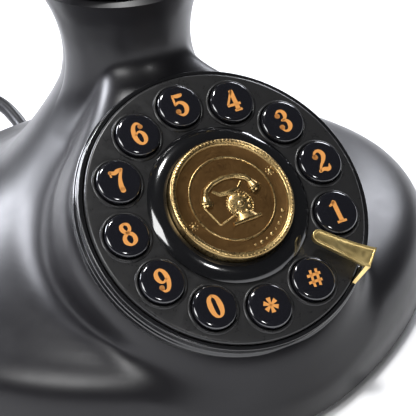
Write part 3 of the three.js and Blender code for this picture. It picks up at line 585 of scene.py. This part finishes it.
def makeFaceplate():
    bm = bmesh.new()
    turn(bm, [(0, -dial["plateThickness"]), (dial["plate"], -dial["plateThickness"]), (dial["plate"], 0), (0, 0)],
         120)
    roundEdges(bm, 0.9, 20, 5)
    plate = finishPiece("dialFaceplate", bm, plateSatin, "base", ["dial_faceplate"], onDial)
    cutter = bmesh.new()
    for index in range(len(keyNames)):
        addDrill(cutter, keyPlace(index), dial["hole"], 20, 64)
    cutWith(plate, cutter, onDial)
    bm = bmesh.new()
    for index in range(len(keyNames)):
        before = set(bm.verts)
        hole, wide, rise = dial["hole"], dial["hole"] + dial["collarWidth"], dial["collarRise"]
        turn(bm, [(hole, -1.2), (hole, rise * 0.55), (hole + 0.15, rise * 0.85), (hole + 0.4, rise),
                  (hole + 0.7, rise * 0.8), (wide, 0.0), (wide, -0.3)], 64)
        fresh = [vert for vert in bm.verts if vert not in before]
        bmesh.ops.translate(bm, vec=keyPlace(index), verts=fresh)
    finishPiece("keyCollars", bm, plateSatin, "base", (), onDial, crease=50)


def makeHub():
    bm = bmesh.new()
    inner, outer, top = dial["medal"] + 0.3, dial["hub"], dial["hubHeight"]
    turn(bm, [(inner, 0.3), (outer, 0.3), (outer, 0.9), (outer - 0.5, 1.3), (outer - 1.4, 1.9), (outer - 2.6, 2.4),
              (outer - 4, 2.75), (inner + 1.2, top), (inner, top - 0.3)], 120, closed=True)
    finishPiece("hubRing", bm, hubGloss, "base", ["hub_ring"], onDial)


# Characters as strokes: [across, up, width] along each stroke, in shares of the character's height

characters = {
    "height": 7.9, "weight": 1.18, "lift": 0.03,
    "1": [[(0.02, 0.46, 0.17), (0.02, -0.46, 0.17)], [(-0.2, 0.31, 0.07), (-0.08, 0.36, 0.1), (0.02, 0.44, 0.12)],
          [(-0.2, -0.46, 0.09), (0.24, -0.46, 0.09)]],
    "2": [[(-0.2, 0.22, 0.2), (-0.19, 0.22, 0.2)],
          [(-0.25, 0.25, 0.08), (-0.12, 0.43, 0.09), (0.07, 0.44, 0.13), (0.19, 0.25, 0.18), (0.1, 0.02, 0.14),
           (-0.1, -0.2, 0.09), (-0.23, -0.42, 0.07)],
          [(-0.24, -0.43, 0.12), (-0.06, -0.38, 0.13), (0.12, -0.43, 0.16), (0.23, -0.38, 0.12),
           (0.27, -0.24, 0.05)]],
    "3": [[(-0.18, 0.27, 0.19), (-0.17, 0.27, 0.19)],
          [(-0.23, 0.3, 0.07), (-0.08, 0.46, 0.08), (0.1, 0.42, 0.13), (0.17, 0.25, 0.17), (0.09, 0.08, 0.1),
           (-0.06, 0.03, 0.07)],
          [(-0.06, 0.03, 0.07), (0.13, -0.02, 0.12), (0.21, -0.22, 0.18), (0.1, -0.43, 0.12),
           (-0.09, -0.46, 0.08), (-0.24, -0.3, 0.07)], [(-0.18, -0.26, 0.19), (-0.17, -0.26, 0.19)]],
    "4": [[(0.13, 0.46, 0.08), (-0.28, -0.16, 0.08)], [(-0.31, -0.19, 0.1), (0.3, -0.19, 0.1)],
          [(0.1, 0.46, 0.17), (0.1, -0.46, 0.17)], [(-0.07, -0.46, 0.09), (0.27, -0.46, 0.09)]],
    "5": [[(-0.17, 0.46, 0.08), (-0.02, 0.41, 0.14), (0.2, 0.42, 0.13), (0.22, 0.47, 0.05)],
          [(-0.17, 0.46, 0.08), (-0.2, 0.04, 0.08)],
          [(-0.2, 0.04, 0.07), (-0.03, 0.12, 0.1), (0.16, 0.03, 0.15), (0.22, -0.17, 0.18), (0.12, -0.39, 0.13),
           (-0.06, -0.46, 0.09), (-0.24, -0.33, 0.07)], [(-0.19, -0.27, 0.19), (-0.18, -0.27, 0.19)]],
    "6": [[(0.22, 0.32, 0.07), (0.1, 0.45, 0.09), (-0.06, 0.4, 0.12), (-0.18, 0.18, 0.16), (-0.21, -0.12, 0.18),
           (-0.13, -0.37, 0.14), (0.02, -0.46, 0.09), (0.17, -0.36, 0.14), (0.21, -0.16, 0.17),
           (0.13, 0.03, 0.12), (0.0, 0.08, 0.08), (-0.14, -0.02, 0.07)],
          [(0.17, 0.28, 0.18), (0.18, 0.28, 0.18)]],
    "7": [[(-0.25, 0.42, 0.13), (-0.08, 0.36, 0.14), (0.1, 0.42, 0.15), (0.26, 0.44, 0.1)],
          [(-0.26, 0.48, 0.06), (-0.27, 0.22, 0.06)],
          [(0.25, 0.42, 0.09), (0.08, 0.12, 0.12), (-0.01, -0.18, 0.17), (-0.02, -0.42, 0.2)]],
    "8": [[(0.0, 0.46, 0.08), (-0.15, 0.38, 0.14), (-0.15, 0.2, 0.16), (0.0, 0.06, 0.12), (0.15, 0.2, 0.12),
           (0.14, 0.38, 0.12), (0.0, 0.46, 0.08)],
          [(0.0, 0.06, 0.12), (-0.19, -0.1, 0.14), (-0.2, -0.32, 0.16), (0.0, -0.46, 0.08), (0.2, -0.32, 0.16),
           (0.19, -0.08, 0.15), (0.0, 0.06, 0.12)]],
    "0": [[(0, 0.46, 0.08), (-0.16, 0.33, 0.15), (-0.21, 0, 0.2), (-0.16, -0.33, 0.15), (0, -0.46, 0.08),
           (0.16, -0.33, 0.15), (0.21, 0, 0.2), (0.16, 0.33, 0.15), (0, 0.46, 0.08)]],
    "hash": [[(-0.06, 0.36, 0.1), (-0.14, -0.36, 0.1)], [(0.2, 0.36, 0.1), (0.12, -0.36, 0.1)],
             [(-0.29, 0.14, 0.1), (0.33, 0.14, 0.1)], [(-0.33, -0.14, 0.1), (0.29, -0.14, 0.1)]],
}
characters["9"] = [[(-x, -y, width) for x, y, width in stroke] for stroke in characters["6"]]
characters["star"] = [[(0, 0, 0.05), (0.32 * math.cos(deg(angle)), 0.32 * math.sin(deg(angle)), 0.17)]
                      for angle in range(30, 390, 60)]


def drawCharacter(bm, name, top):
    # Each stroke is a ribbon extruded along its curve, with round ends unless it is straight
    height = characters["height"]
    made = []
    for stroke in characters[name]:
        straight = len(stroke) == 2 and (Vector(stroke[0][:2]) - Vector(stroke[1][:2])).length > 0.05
        spots, _ = smoothPath([(x, y, 0) for x, y, _ in stroke], 1 if straight else 28)
        known, _ = smoothPath([(x, y, width) for x, y, width in stroke], 1 if straight else 28)
        widths = [spot.z for spot in known]
        edge = None
        for i, (spot, width) in enumerate(zip(spots, widths)):
            along = (spots[min(i + 1, len(spots) - 1)] - spots[max(i - 1, 0)]).normalized()
            side = Vector((-along.y, along.x, 0)) * width * characters["weight"] / 2
            places = [(spot + side) * height, (spot - side) * height]
            if edge is None:
                edge = bm.edges.new([bm.verts.new(place) for place in places])
            else:
                lifted = bmesh.ops.extrude_edge_only(bm, edges=[edge])["geom"]
                edge = [part for part in lifted if isinstance(part, bmesh.types.BMEdge)][0]
                for vert, place in zip(sorted(edge.verts, key=lambda vert: (vert.co - start).length), places):
                    vert.co = place
                made += edge.link_faces
            start = places[0]
        if not straight:
            for spot, width in ((spots[0], widths[0]), (spots[-1], widths[-1])):
                disc = bmesh.ops.create_circle(bm, cap_ends=True, segments=20,
                                               radius=width * characters["weight"] * height / 2,
                                               matrix=Matrix.Translation(spot * height))
                made += list(facesOf(disc))
    verts = {vert for face in made for vert in face.verts}
    for vert in verts:
        vert.co.z = top + characters["lift"]
    return set(made)


def makeKeys():
    for index, name in enumerate(keyNames):
        bm = bmesh.new()
        key, top = dial["key"], dial["rise"]
        low = -dial["plateThickness"] - 0.3
        turn(bm, [(0, low - 1), (key + dial["flange"], low - 1), (key + dial["flange"], low - 0.1), (key, low),
                  (key, top - 0.9)] + [(key - 1.5 * (1 - math.cos(deg(a))), top - 0.85 * (1 - math.sin(deg(a))))
                                       for a in range(10, 90, 12)] + [(key - 1.6, top + 0.01),
                                                                      (key - 3, top + 0.1), (0, top + 0.14)], 56)
        bmesh.ops.recalc_face_normals(bm, faces=bm.faces)
        for face in drawCharacter(bm, name, top + 0.14):
            face.normal_update()
            if face.normal.z < 0:
                face.normal_flip()
            face.material_index = 1
        finishPiece("key_" + name, bm, [keyGloss, keyPrint], "key_" + name, ["button_" + name],
                    onDial @ Matrix.Translation(keyPlace(index)), crease=30, flip=False)


makeBezel()
makeFaceplate()
makeHub()
makeKeys()
print("dial and keys made")


# The medallion: a cast disc with a beaded rim, two rings, a small telephone in relief and plain ornaments

medal = {
    "field": 5.1, "ring": 13.9, "ringWidth": 0.9, "ringRise": 0.45, "beads": 96, "beadCircle": 19.95, "bead": 0.42,
    "dotCircle": 17.0, "tilt": 2, "ornament": [(-88, 0.5), (-80, 0.75), (-72, 0.5), (-64, 0.75),
                                                            (-56, 0.5), (-48, 0.75), (-40, 0.5), (-32, 0.75)],
}


def addBall(bm, place, radius, squash=1.0, rings=6):
    made = bmesh.ops.create_uvsphere(bm, u_segments=12, v_segments=rings, radius=radius,
                                     matrix=Matrix.Translation(place) @ Matrix.Diagonal((1, 1, squash, 1)))
    return facesOf(made)


def addRod(bm, points, radii, squash=1.0, sides=12):
    # A round bar through the points, flattened towards the field
    middle = points[0][2]

    def station(i):
        point = Vector(points[i])
        along = Vector(points[min(i + 1, len(points) - 1)]) - Vector(points[max(i - 1, 0)])
        turned = along.to_track_quat("Z", "Y").to_matrix()
        return lambda home: point + turned @ (home * radii[i])

    faces = sweep(bm, sides, [station(i) for i in range(len(points))])
    for vert in {vert for face in faces for vert in face.verts}:
        vert.co.z = middle + (vert.co.z - middle) * squash
    return faces


def makeMedallion():
    bm = bmesh.new()
    rim, top, field = dial["medal"], dial["medalHeight"], medal["field"]
    ring, width, rise = medal["ring"], medal["ringWidth"], medal["ringRise"]
    turn(bm, [(0, 0.3), (rim, 0.3), (rim, top - 0.7), (rim - 0.15, top - 0.35), (rim - 0.5, top - 0.1),
              (rim - 0.9, top - 0.02), (rim - 1.3, top - 0.3), (rim - 1.7, top - 0.25), (rim - 2.0, top - 0.4),
              (rim - 2.3, field + 0.05), (rim - 2.5, field), (ring + width, field),
              (ring + width * 0.8, field + rise * 0.8), (ring + width / 2, field + rise),
              (ring + width * 0.2, field + rise * 0.8), (ring, field), (0, field)], 120)
    bmesh.ops.recalc_face_normals(bm, faces=bm.faces)
    for face in bm.faces:
        middle = face.calc_center_median()
        reach = math.hypot(middle.x, middle.y)
        onField = abs(middle.z - field) < 0.03 and face.normal.z > 0.5
        face.material_index = 0 if onField and reach < rim - 2 else 1
    gold = set()
    for i in range(medal["beads"]):
        gold |= addBall(bm, onCircle(medal["beadCircle"], 360 * i / medal["beads"], top - 0.12),
                        medal["bead"], 0.8, 4)
    for angle in (197, 17):
        spot = onCircle(medal["dotCircle"], angle, field)
        gold |= addBall(bm, spot, 0.95, 0.6, 8)
        for step in range(8):
            gold |= addBall(bm, spot + onCircle(1.35, 45 * step, 0), 0.28, 0.8, 4)
    for angle, size in medal["ornament"]:
        gold |= addBall(bm, onCircle(medal["dotCircle"], angle, field), size, 0.6, 6)
    before = set(bm.verts)
    # The small telephone: foot, dial with its holes, cradle, handset with its cups, and cord
    gold |= addRod(bm, [(-3.6, -8.2, field), (6.6, -8.2, field)], [0.7, 0.7], 0.9)
    gold |= addRod(bm, [(1.5, -8, field), (1.5, -6.6, field), (1.5, -5, field)], [4.6, 3.2, 2.2], 0.3, 20)
    gold |= addBall(bm, (1.5, -2.7, field), 4.5, 0.2, 12)
    middle = Vector((1.5, -2.7, field))
    for i in range(30):
        gold |= addBall(bm, middle + onCircle(4.4, 12 * i, 0.1), 0.42, 1, 4)
    for i in range(10):
        gold |= addBall(bm, middle + onCircle(3.0, 36 * i, 0.7), 0.66, 0.7, 6)
    gold |= addBall(bm, (1.5, -2.7, field + 0.8), 1.3, 0.4, 8)
    gold |= addRod(bm, [(-5.4, 4.4, field), (-3.4, 2.6, field), (0, 2.2, field), (3.4, 2.6, field),
                        (5.4, 4.4, field)], [0.5, 0.8, 1.1, 0.8, 0.5], 0.7)
    gold |= addRod(bm, [(-8.8, 2.6, field), (-7.4, 5.2, field), (-4.2, 6.9, field), (0, 7.5, field),
                        (4.2, 6.9, field), (7.4, 5.2, field), (8.8, 2.6, field)],
                   [0.9, 1.15, 1, 0.9, 1, 1.15, 0.9], 0.9)
    for side in (-1, 1):
        gold |= addRod(bm, [(side * 8.3, 3.6, field), (side * 8.8, 1.6, field)], [1.2, 2.0], 0.6, 16)
        gold |= addRod(bm, [(side * 8.85, 1.3, field), (side * 9.0, 0.7, field)], [2.3, 2.3], 0.6, 16)
        gold |= addRod(bm, [(side * 9.05, 0.4, field), (side * 9.2, -0.2, field)], [2.0, 1.8], 0.6, 16)
    for i in range(34):
        t = i / 33
        down = min(1, t * 1.6)
        gold |= addBall(bm, (-10.4 + 2.6 * down + 6.2 * max(0, t - 0.62) / 0.38,
                             0.4 - 7.4 * down + 1.6 * max(0, t - 0.62) / 0.38, field), 0.4, 0.9, 4)
    fresh = [vert for vert in bm.verts if vert not in before]
    bmesh.ops.rotate(bm, verts=fresh, cent=(0, 0, field), matrix=Matrix.Rotation(deg(medal["tilt"]), 3, "Z"))
    for face in gold:
        if face.is_valid:
            face.material_index = 1
    finishPiece("medallionDisc", bm, [medalField, medalGold], "base", ["medallion"], onDial,
                crease=45)


# The finger stop: a bar that is narrow at its inner end, with a raised edge, on a leg down to the rim

stop = {"angle": -44.5, "inner": 28.3, "outer": 49.6, "narrow": 4.6, "wide": 7.6, "under": 4.6, "thick": 1.9,
        "footAngle": -52.5, "border": 0.75, "sink": 0.35}


def makeFingerStop():
    bm = bmesh.new()
    half = stop["narrow"] / 2
    low, high = -half - 0.6, stop["wide"] - half - 0.6
    tip = stop["inner"] + half
    outline = [(stop["outer"], low), (stop["outer"], high)]
    for step in range(1, 13):
        t = step / 12
        along = 0.5 * (tip + stop["outer"]) + 3
        outline.append(((1 - t) ** 2 * stop["outer"] + 2 * t * (1 - t) * along + t ** 2 * tip,
                        (1 - t) ** 2 * high + 2 * t * (1 - t) * (half + 0.4) + t ** 2 * half))
    for step in range(1, 11):
        angle = deg(90 + 18 * step)
        outline.append((tip + half * math.cos(angle), half * math.sin(angle)))
    top = stop["under"] + stop["thick"]
    face = bm.faces.new([bm.verts.new((x, y, top)) for x, y in outline])
    face.normal_update()
    if face.normal.z < 0:
        face.normal_flip()
    lifted = bmesh.ops.extrude_face_region(bm, geom=[face])["geom"]
    bmesh.ops.translate(bm, vec=(0, 0, -stop["thick"]),
                        verts=[part for part in lifted if isinstance(part, bmesh.types.BMVert)])
    topFace = [part for part in bm.faces if part.calc_center_median().z > top - 0.01][:1]
    bmesh.ops.recalc_face_normals(bm, faces=bm.faces)
    bmesh.ops.inset_region(bm, faces=topFace, thickness=stop["border"], depth=0)
    bmesh.ops.inset_region(bm, faces=topFace, thickness=0.25, depth=-stop["sink"])
    roundEdges(bm, 0.18, 30, 2)
    bm.transform(Matrix.Rotation(deg(stop["angle"]), 4, "Z"))
    leg = bmesh.ops.create_cube(bm, size=1)["verts"]

    inner, outer = stop["outer"] - 1.5, stop["outer"] - 0.1
    corners = {
        (-1, -1): (dial["plate"] + 0.5, stop["footAngle"]), (1, -1): (dial["bezel"] - 0.2, stop["footAngle"]),
        (-1, 1): (dial["plate"] + 0.5, stop["footAngle"] + 2.6), (1, 1): (dial["bezel"] - 0.2,
                                                                       stop["footAngle"] + 2.6),
    }
    for vert in leg:
        key = (1 if vert.co.x > 0 else -1, 1 if vert.co.y > 0 else -1)
        if vert.co.z < 0:
            vert.co = onCircle(*corners[key], -dial["bezelLip"] + 0.3)
        else:
            vert.co = onCircle(inner if key[0] < 0 else outer, stop["angle"] - (2.6 if key[1] > 0 else 3.4),
                            top - 0.3)
    finishPiece("fingerStop", bm, polishedBrass, "base", ["finger_stop"], onDial, crease=35)


makeMedallion()
makeFingerStop()
print("medallion and finger stop made")


# The cradle

cradle = {"bottom": 126.3, "height": 25.7, "levels": 22,
          "halfWidth": 47, "halfDepth": 19, "crown": 27, "plungers": 22,
          "plungerRadius": 2.5, "hole": 3.1, "pocket": (129.3, 148), "pocketHalfWidth": 27,
          "pocketHalfDepth": 5.5, "rodHole": 2.7, "forkX": 38, "forkWidth": 5, "forkThickness": 3.2, "reach": 7,
          "axisZ": 173}
handle = {"half": 68, "waist": 9, "belly": 2.2}


def handleRadius(x):
    return handle["waist"] + handle["belly"] * math.cos(math.pi * x / (2 * handle["half"])) ** 2


def makeYoke():
    bm = bmesh.new()
    top = cradle["bottom"] + cradle["height"]

    def station(share):
        spread = math.sin(share * math.pi / 2) ** 1.5
        wide = cradle["crown"] + (cradle["halfWidth"] - cradle["crown"]) * spread
        deep = cradle["crown"] + (cradle["halfDepth"] - cradle["crown"]) * spread
        return lambda home: Vector((home.x * wide, home.y * deep, cradle["bottom"] + share * cradle["height"]))

    sweep(bm, 96, [station(i / cradle["levels"]) for i in range(cradle["levels"] + 1)])
    bmesh.ops.recalc_face_normals(bm, faces=bm.faces)
    roundEdges(bm, 1.6, 50, 4)
    bmesh.ops.inset_region(bm, faces=[face for face in bm.faces if face.calc_center_median().z > top - 0.01],
                           thickness=4, depth=0)
    yoke = finishPiece("cradleYoke", bm, blackGloss, "base", ["cradle_yoke"],
                       Matrix.Translation((0, axisY, 0)), crease=45)
    low, high = cradle["pocket"]
    cutter = bmesh.new()
    wide, deep = cradle["pocketHalfWidth"] * 2, cradle["pocketHalfDepth"] * 2
    bmesh.ops.create_cube(cutter, size=1, matrix=Matrix.Translation((0, axisY, (low + high) / 2))
                          @ Matrix.Diagonal((wide, deep, high - low, 1)))
    cutWith(yoke, cutter)
    cutter = bmesh.new()
    addDrill(cutter, (0, axisY, low - 4), cradle["rodHole"], 10, 32)
    for side in (-1, 1):
        addDrill(cutter, (side * cradle["plungers"], axisY, top - 2), cradle["hole"], 16, 32)
    cutWith(yoke, cutter)


def makeForks():
    seat = handleRadius(cradle["forkX"] + cradle["forkWidth"] / 2) + handle["belly"] / 2 + 0.3
    thick = cradle["forkThickness"]
    middle = seat + thick / 2
    for side, label in ((-1, "left"), (1, "right")):
        bm = bmesh.new()
        # The U: a rounded section swept up one prong, round the seat and up the other
        points = [(0, middle + 0.6, cradle["reach"] + 1.2), (0, middle, cradle["reach"] - 2), (0, middle, 0)]
        points += [(0, middle * math.cos(deg(a)), -middle * math.sin(deg(a))) for a in range(12, 180, 12)]
        points += [(0, -middle, 0), (0, -middle, cradle["reach"] - 2), (0, -middle - 0.6, cradle["reach"] + 1.2)]

        def station(i):
            # a squarish section with rounded corners, smaller at both ends
            point = Vector(points[i])
            along = Vector(points[min(i + 1, len(points) - 1)]) - Vector(points[max(i - 1, 0)])
            out = Vector((1, 0, 0)).cross(along.normalized())
            size = 0.75 if i in (0, len(points) - 1) else 1

            def settle(home):
                x, y = [math.copysign(abs(part) ** 0.55, part) * size / 2 for part in (home.x, home.y)]
                return point + Vector((x * cradle["forkWidth"], 0, 0)) + out * y * thick

            return settle

        sweep(bm, 20, [station(i) for i in range(len(points))])
        for ball in (-1, 1):
            tip = Matrix.Translation((0, ball * (middle + 0.6), cradle["reach"] + 1.6))
            bmesh.ops.create_uvsphere(bm, u_segments=20, v_segments=12, radius=2.3, matrix=tip)
        low = cradle["bottom"] + cradle["height"] + 0.3 - cradle["axisZ"]
        turn(bm, [(0, low), (5, low), (5, low + 0.8), (3.6, low + 1.6), (2.6, low + 3.2), (2.5, low + 6),
                  (3.2, low + 7.6), (0, low + 7.8)], 32)
        finishPiece("cradleFork_" + label, bm, cradleBrass, "base", ["cradle_fork_" + label],
                    Matrix.Translation((side * cradle["forkX"], axisY, cradle["axisZ"])), crease=40)


def makePlungers():
    top = cradle["axisZ"] - handleRadius(cradle["plungers"]) - 0.3
    for side, label in ((-1, "left"), (1, "right")):
        bm = bmesh.new()
        radius = cradle["plungerRadius"]
        turn(bm, [(0, 141.3), (radius, 141.3), (radius, top - 1.6), (radius - 0.3, top - 0.8),
                  (radius - 1.1, top - 0.2), (0, top)], 32)
        finishPiece("hookPlunger_" + label, bm, cradleBrass, "hook_carriage",
                    ["hook_plunger_" + label], Matrix.Translation((side * cradle["plungers"], axisY, 0)))


makeYoke()
makeForks()
makePlungers()
print("cradle made")


# The handset

handset = {"cupX": 80, "cup": 25, "rimZ": 145, "neck": 14, "capHeight": 6.4, "capLip": 1, "collarX": 56,
           "collarWidth": 5, "collarThickness": 1.8}


def makeHandset():
    bm = bmesh.new()
    half, axis = handle["half"], cradle["axisZ"]
    stations = [(0, -half)] + [(handleRadius(-half + 2 * half * i / 40), -half + 2 * half * i / 40)
                               for i in range(41)] + [(0, half)]
    turn(bm, stations, 56)
    bm.transform(Matrix.Translation((0, 0, axis)) @ Matrix.Rotation(deg(90), 4, "Y"))
    rim, cup, neck = handset["rimZ"], handset["cup"], handset["neck"]
    profile = [(0, rim + 15), (14, rim + 14.6), (20, rim + 9), (22, rim + 0.4), (22.4, rim), (cup - 0.3, rim),
               (cup, rim + 0.3), (cup - 0.3, rim + 3), (cup - 1.4, rim + 6), (cup - 3.6, rim + 9.2),
               (cup - 6.4, rim + 12.2), (neck + 2.5, rim + 15.2), (neck + 0.7, rim + 18.5), (neck, axis - 5.5),
               (neck + 0.1, axis - 1), (neck - 0.3, axis + 2.5), (neck - 2, axis + 6), (neck - 4.8, axis + 8.8),
               (neck - 8.4, axis + 10.6), (neck - 11, axis + 11.3), (0, axis + 11.5)]
    for side in (-1, 1):
        before = set(bm.verts)
        turn(bm, profile, 72)
        bmesh.ops.translate(bm, vec=(side * handset["cupX"], 0, 0),
                            verts=[vert for vert in bm.verts if vert not in before])
    finishPiece("handsetHandle", bm, handsetGloss, "handset", ["handset_handle"],
                Matrix.Translation((0, axisY, 0)), crease=40)
    for side, label in ((-1, "left"), (1, "right")):
        bm = bmesh.new()
        inner = handleRadius(handset["collarX"] - handset["collarWidth"]) + 0.3
        outer, width = inner + handset["collarThickness"], handset["collarWidth"] / 2
        turn(bm, [(inner, -width), (outer - 0.5, -width), (outer - 0.2, -width + 0.7), (outer - 0.9, -width + 1.1),
                  (outer - 0.2, -0.9), (outer, 0), (outer - 0.2, 0.9), (outer - 0.9, width - 1.1),
                  (outer - 0.2, width - 0.7), (outer - 0.5, width), (inner, width)], 64, closed=True)
        finishPiece("handsetCollar_" + label, bm, cradleBrass, "handset",
                    ["handset_collar_" + label],
                    Matrix.Translation((side * handset["collarX"], axisY, axis))
                    @ Matrix.Rotation(deg(90), 4, "Y"))
    for side, name, node, doming in ((-1, "mouthCap", "mouth_cap", 1.2), (1, "earCap", "ear_cap", 2.2)):
        makeCap(side, name, node, doming)


def makeCap(side, name, node, doming):
    bm = bmesh.new()
    outer, top = handset["cup"] + handset["capLip"], handset["rimZ"] - 0.3
    low = top - handset["capHeight"]
    turn(bm, [(0, low + doming), (8, low + doming * 0.75), (13, low + 0.4 * doming), (17, low + 0.35), (20, low),
              (23, low + 0.1), (outer - 0.8, low + 0.5), (outer, low + 1.4), (outer - 0.1, low + 2.4),
              (outer - 0.5, low + 2.8), (outer - 0.1, low + 3.2), (outer, top - 1.2), (outer - 0.4, top - 0.4),
              (outer - 1, top), (20, top), (20, low + 3.6), (0, low + 3 + doming)], 80)
    cap = finishPiece(name, bm, handsetGloss, "handset", [node],
                      Matrix.Translation((side * handset["cupX"], axisY, 0)), crease=50)
    cutter = bmesh.new()
    for ringRadius, count in ((0, 1), (4.4, 6), (8.8, 12)):
        for i in range(count):
            spot = Vector((side * handset["cupX"], axisY, 0)) + onCircle(ringRadius, 360 * i / count, low)
            addDrill(cutter, spot, 1.0, 16, 16)
    cutWith(cap, cutter)


makeHandset()
print("handset made")


# What stays as the frame has it gets its finish

keptFinishes = [
    (baseGrain, "base_plate"), (silicone, "keypad_membrane"), (boardGreen, "keypad_board main_board"),
    (innerPlastic, "hook_bridge hook_lever hook_switch"), (plainSteel, "push_rod hook_spring hook_bracket"),
    (canSatin, "microphone_capsule receiver_capsule"), (darkIron, "ballast_weight"),
    (gongBrass, "ringer_gong ringer_striker"), (windingCopper, "ringer_coil"),
    (socketPlastic, "handset_jack line_jack ringer_switch"), (plugPlastic, "cord_plug"), (rubber, "cord_boot"),
]
for corner in ("front_left", "front_right", "rear_left", "rear_right"):
    keptFinishes += [(rubber, "foot_" + corner), (plainSteel, "screw_" + corner)]
for finish, names in keptFinishes:
    for node in names.split():
        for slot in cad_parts[node].material_slots:
            slot.material = finish
print("frame pieces finished")


# Floor, light and background

studio = {
    "floor": (0.9, 0.9, 0.91), "world": (0.85, 0.9, 1.0), "worldStrength": 0.04,
    "lights": [
        # name, place, aim, width, height, power, colour
        ("bandLeft", (-0.75, 0.95, 0.75), (-0.05, -0.03, 0.06), 0.75, 0.45, 38, (0.9, 0.92, 1)),
        ("shoulder", (1.1, 0.75, 0.7), (0.07, -0.05, 0.03), 0.6, 0.4, 12, (0.9, 0.92, 1)),
        ("neckSpot", (0.1, -1.1, 1.0), (0, -0.02, 0.1), 0.12, 0.12, 2.5, (1, 1, 1)),
        ("keySide", (-0.95, -0.5, 1.1), (0, -0.06, 0.07), 0.6, 0.6, 14, (1, 1, 1)),
        ("floorWash", (0.0, 0.1, 2.6), (0, 0.1, 0), 0.3, 0.3, 42, (1, 1, 1)),
    ],
}


def makeStudio():
    bm = bmesh.new()
    bmesh.ops.create_grid(bm, x_segments=1, y_segments=1, size=3)
    mesh = bpy.data.meshes.new("floor")
    bm.to_mesh(mesh)
    bm.free()
    paper, nodes, links, shader = startFinish("palePaper")
    faint = speckle(nodes, links, 3, 2)
    links.new(blended(nodes, links, faint, studio["floor"], [part * 1.02 for part in studio["floor"]]),
              shader.inputs["Base Color"])
    shader.inputs["Roughness"].default_value = 0.9
    mesh.materials.append(paper)
    addToScene("floor", mesh)
    world = bpy.data.worlds.new("studio")
    world.use_nodes = True
    world.node_tree.nodes["Background"].inputs["Color"].default_value = (*studio["world"], 1)
    world.node_tree.nodes["Background"].inputs["Strength"].default_value = studio["worldStrength"]
    bpy.context.scene.world = world
    for name, place, aim, width, height, power, color in studio["lights"]:
        data = bpy.data.lights.new(name, "AREA")
        data.shape = "RECTANGLE"
        data.size, data.size_y, data.energy, data.color = width, height, power, color
        lamp = addToScene(name, data)
        turned = (Vector(aim) - Vector(place)).to_track_quat("-Z", "Y").to_matrix().to_4x4()
        lamp.matrix_world = Matrix.Translation(place) @ turned
    bpy.context.scene.view_settings.view_transform = "Standard"


makeStudio()
print("studio lit")
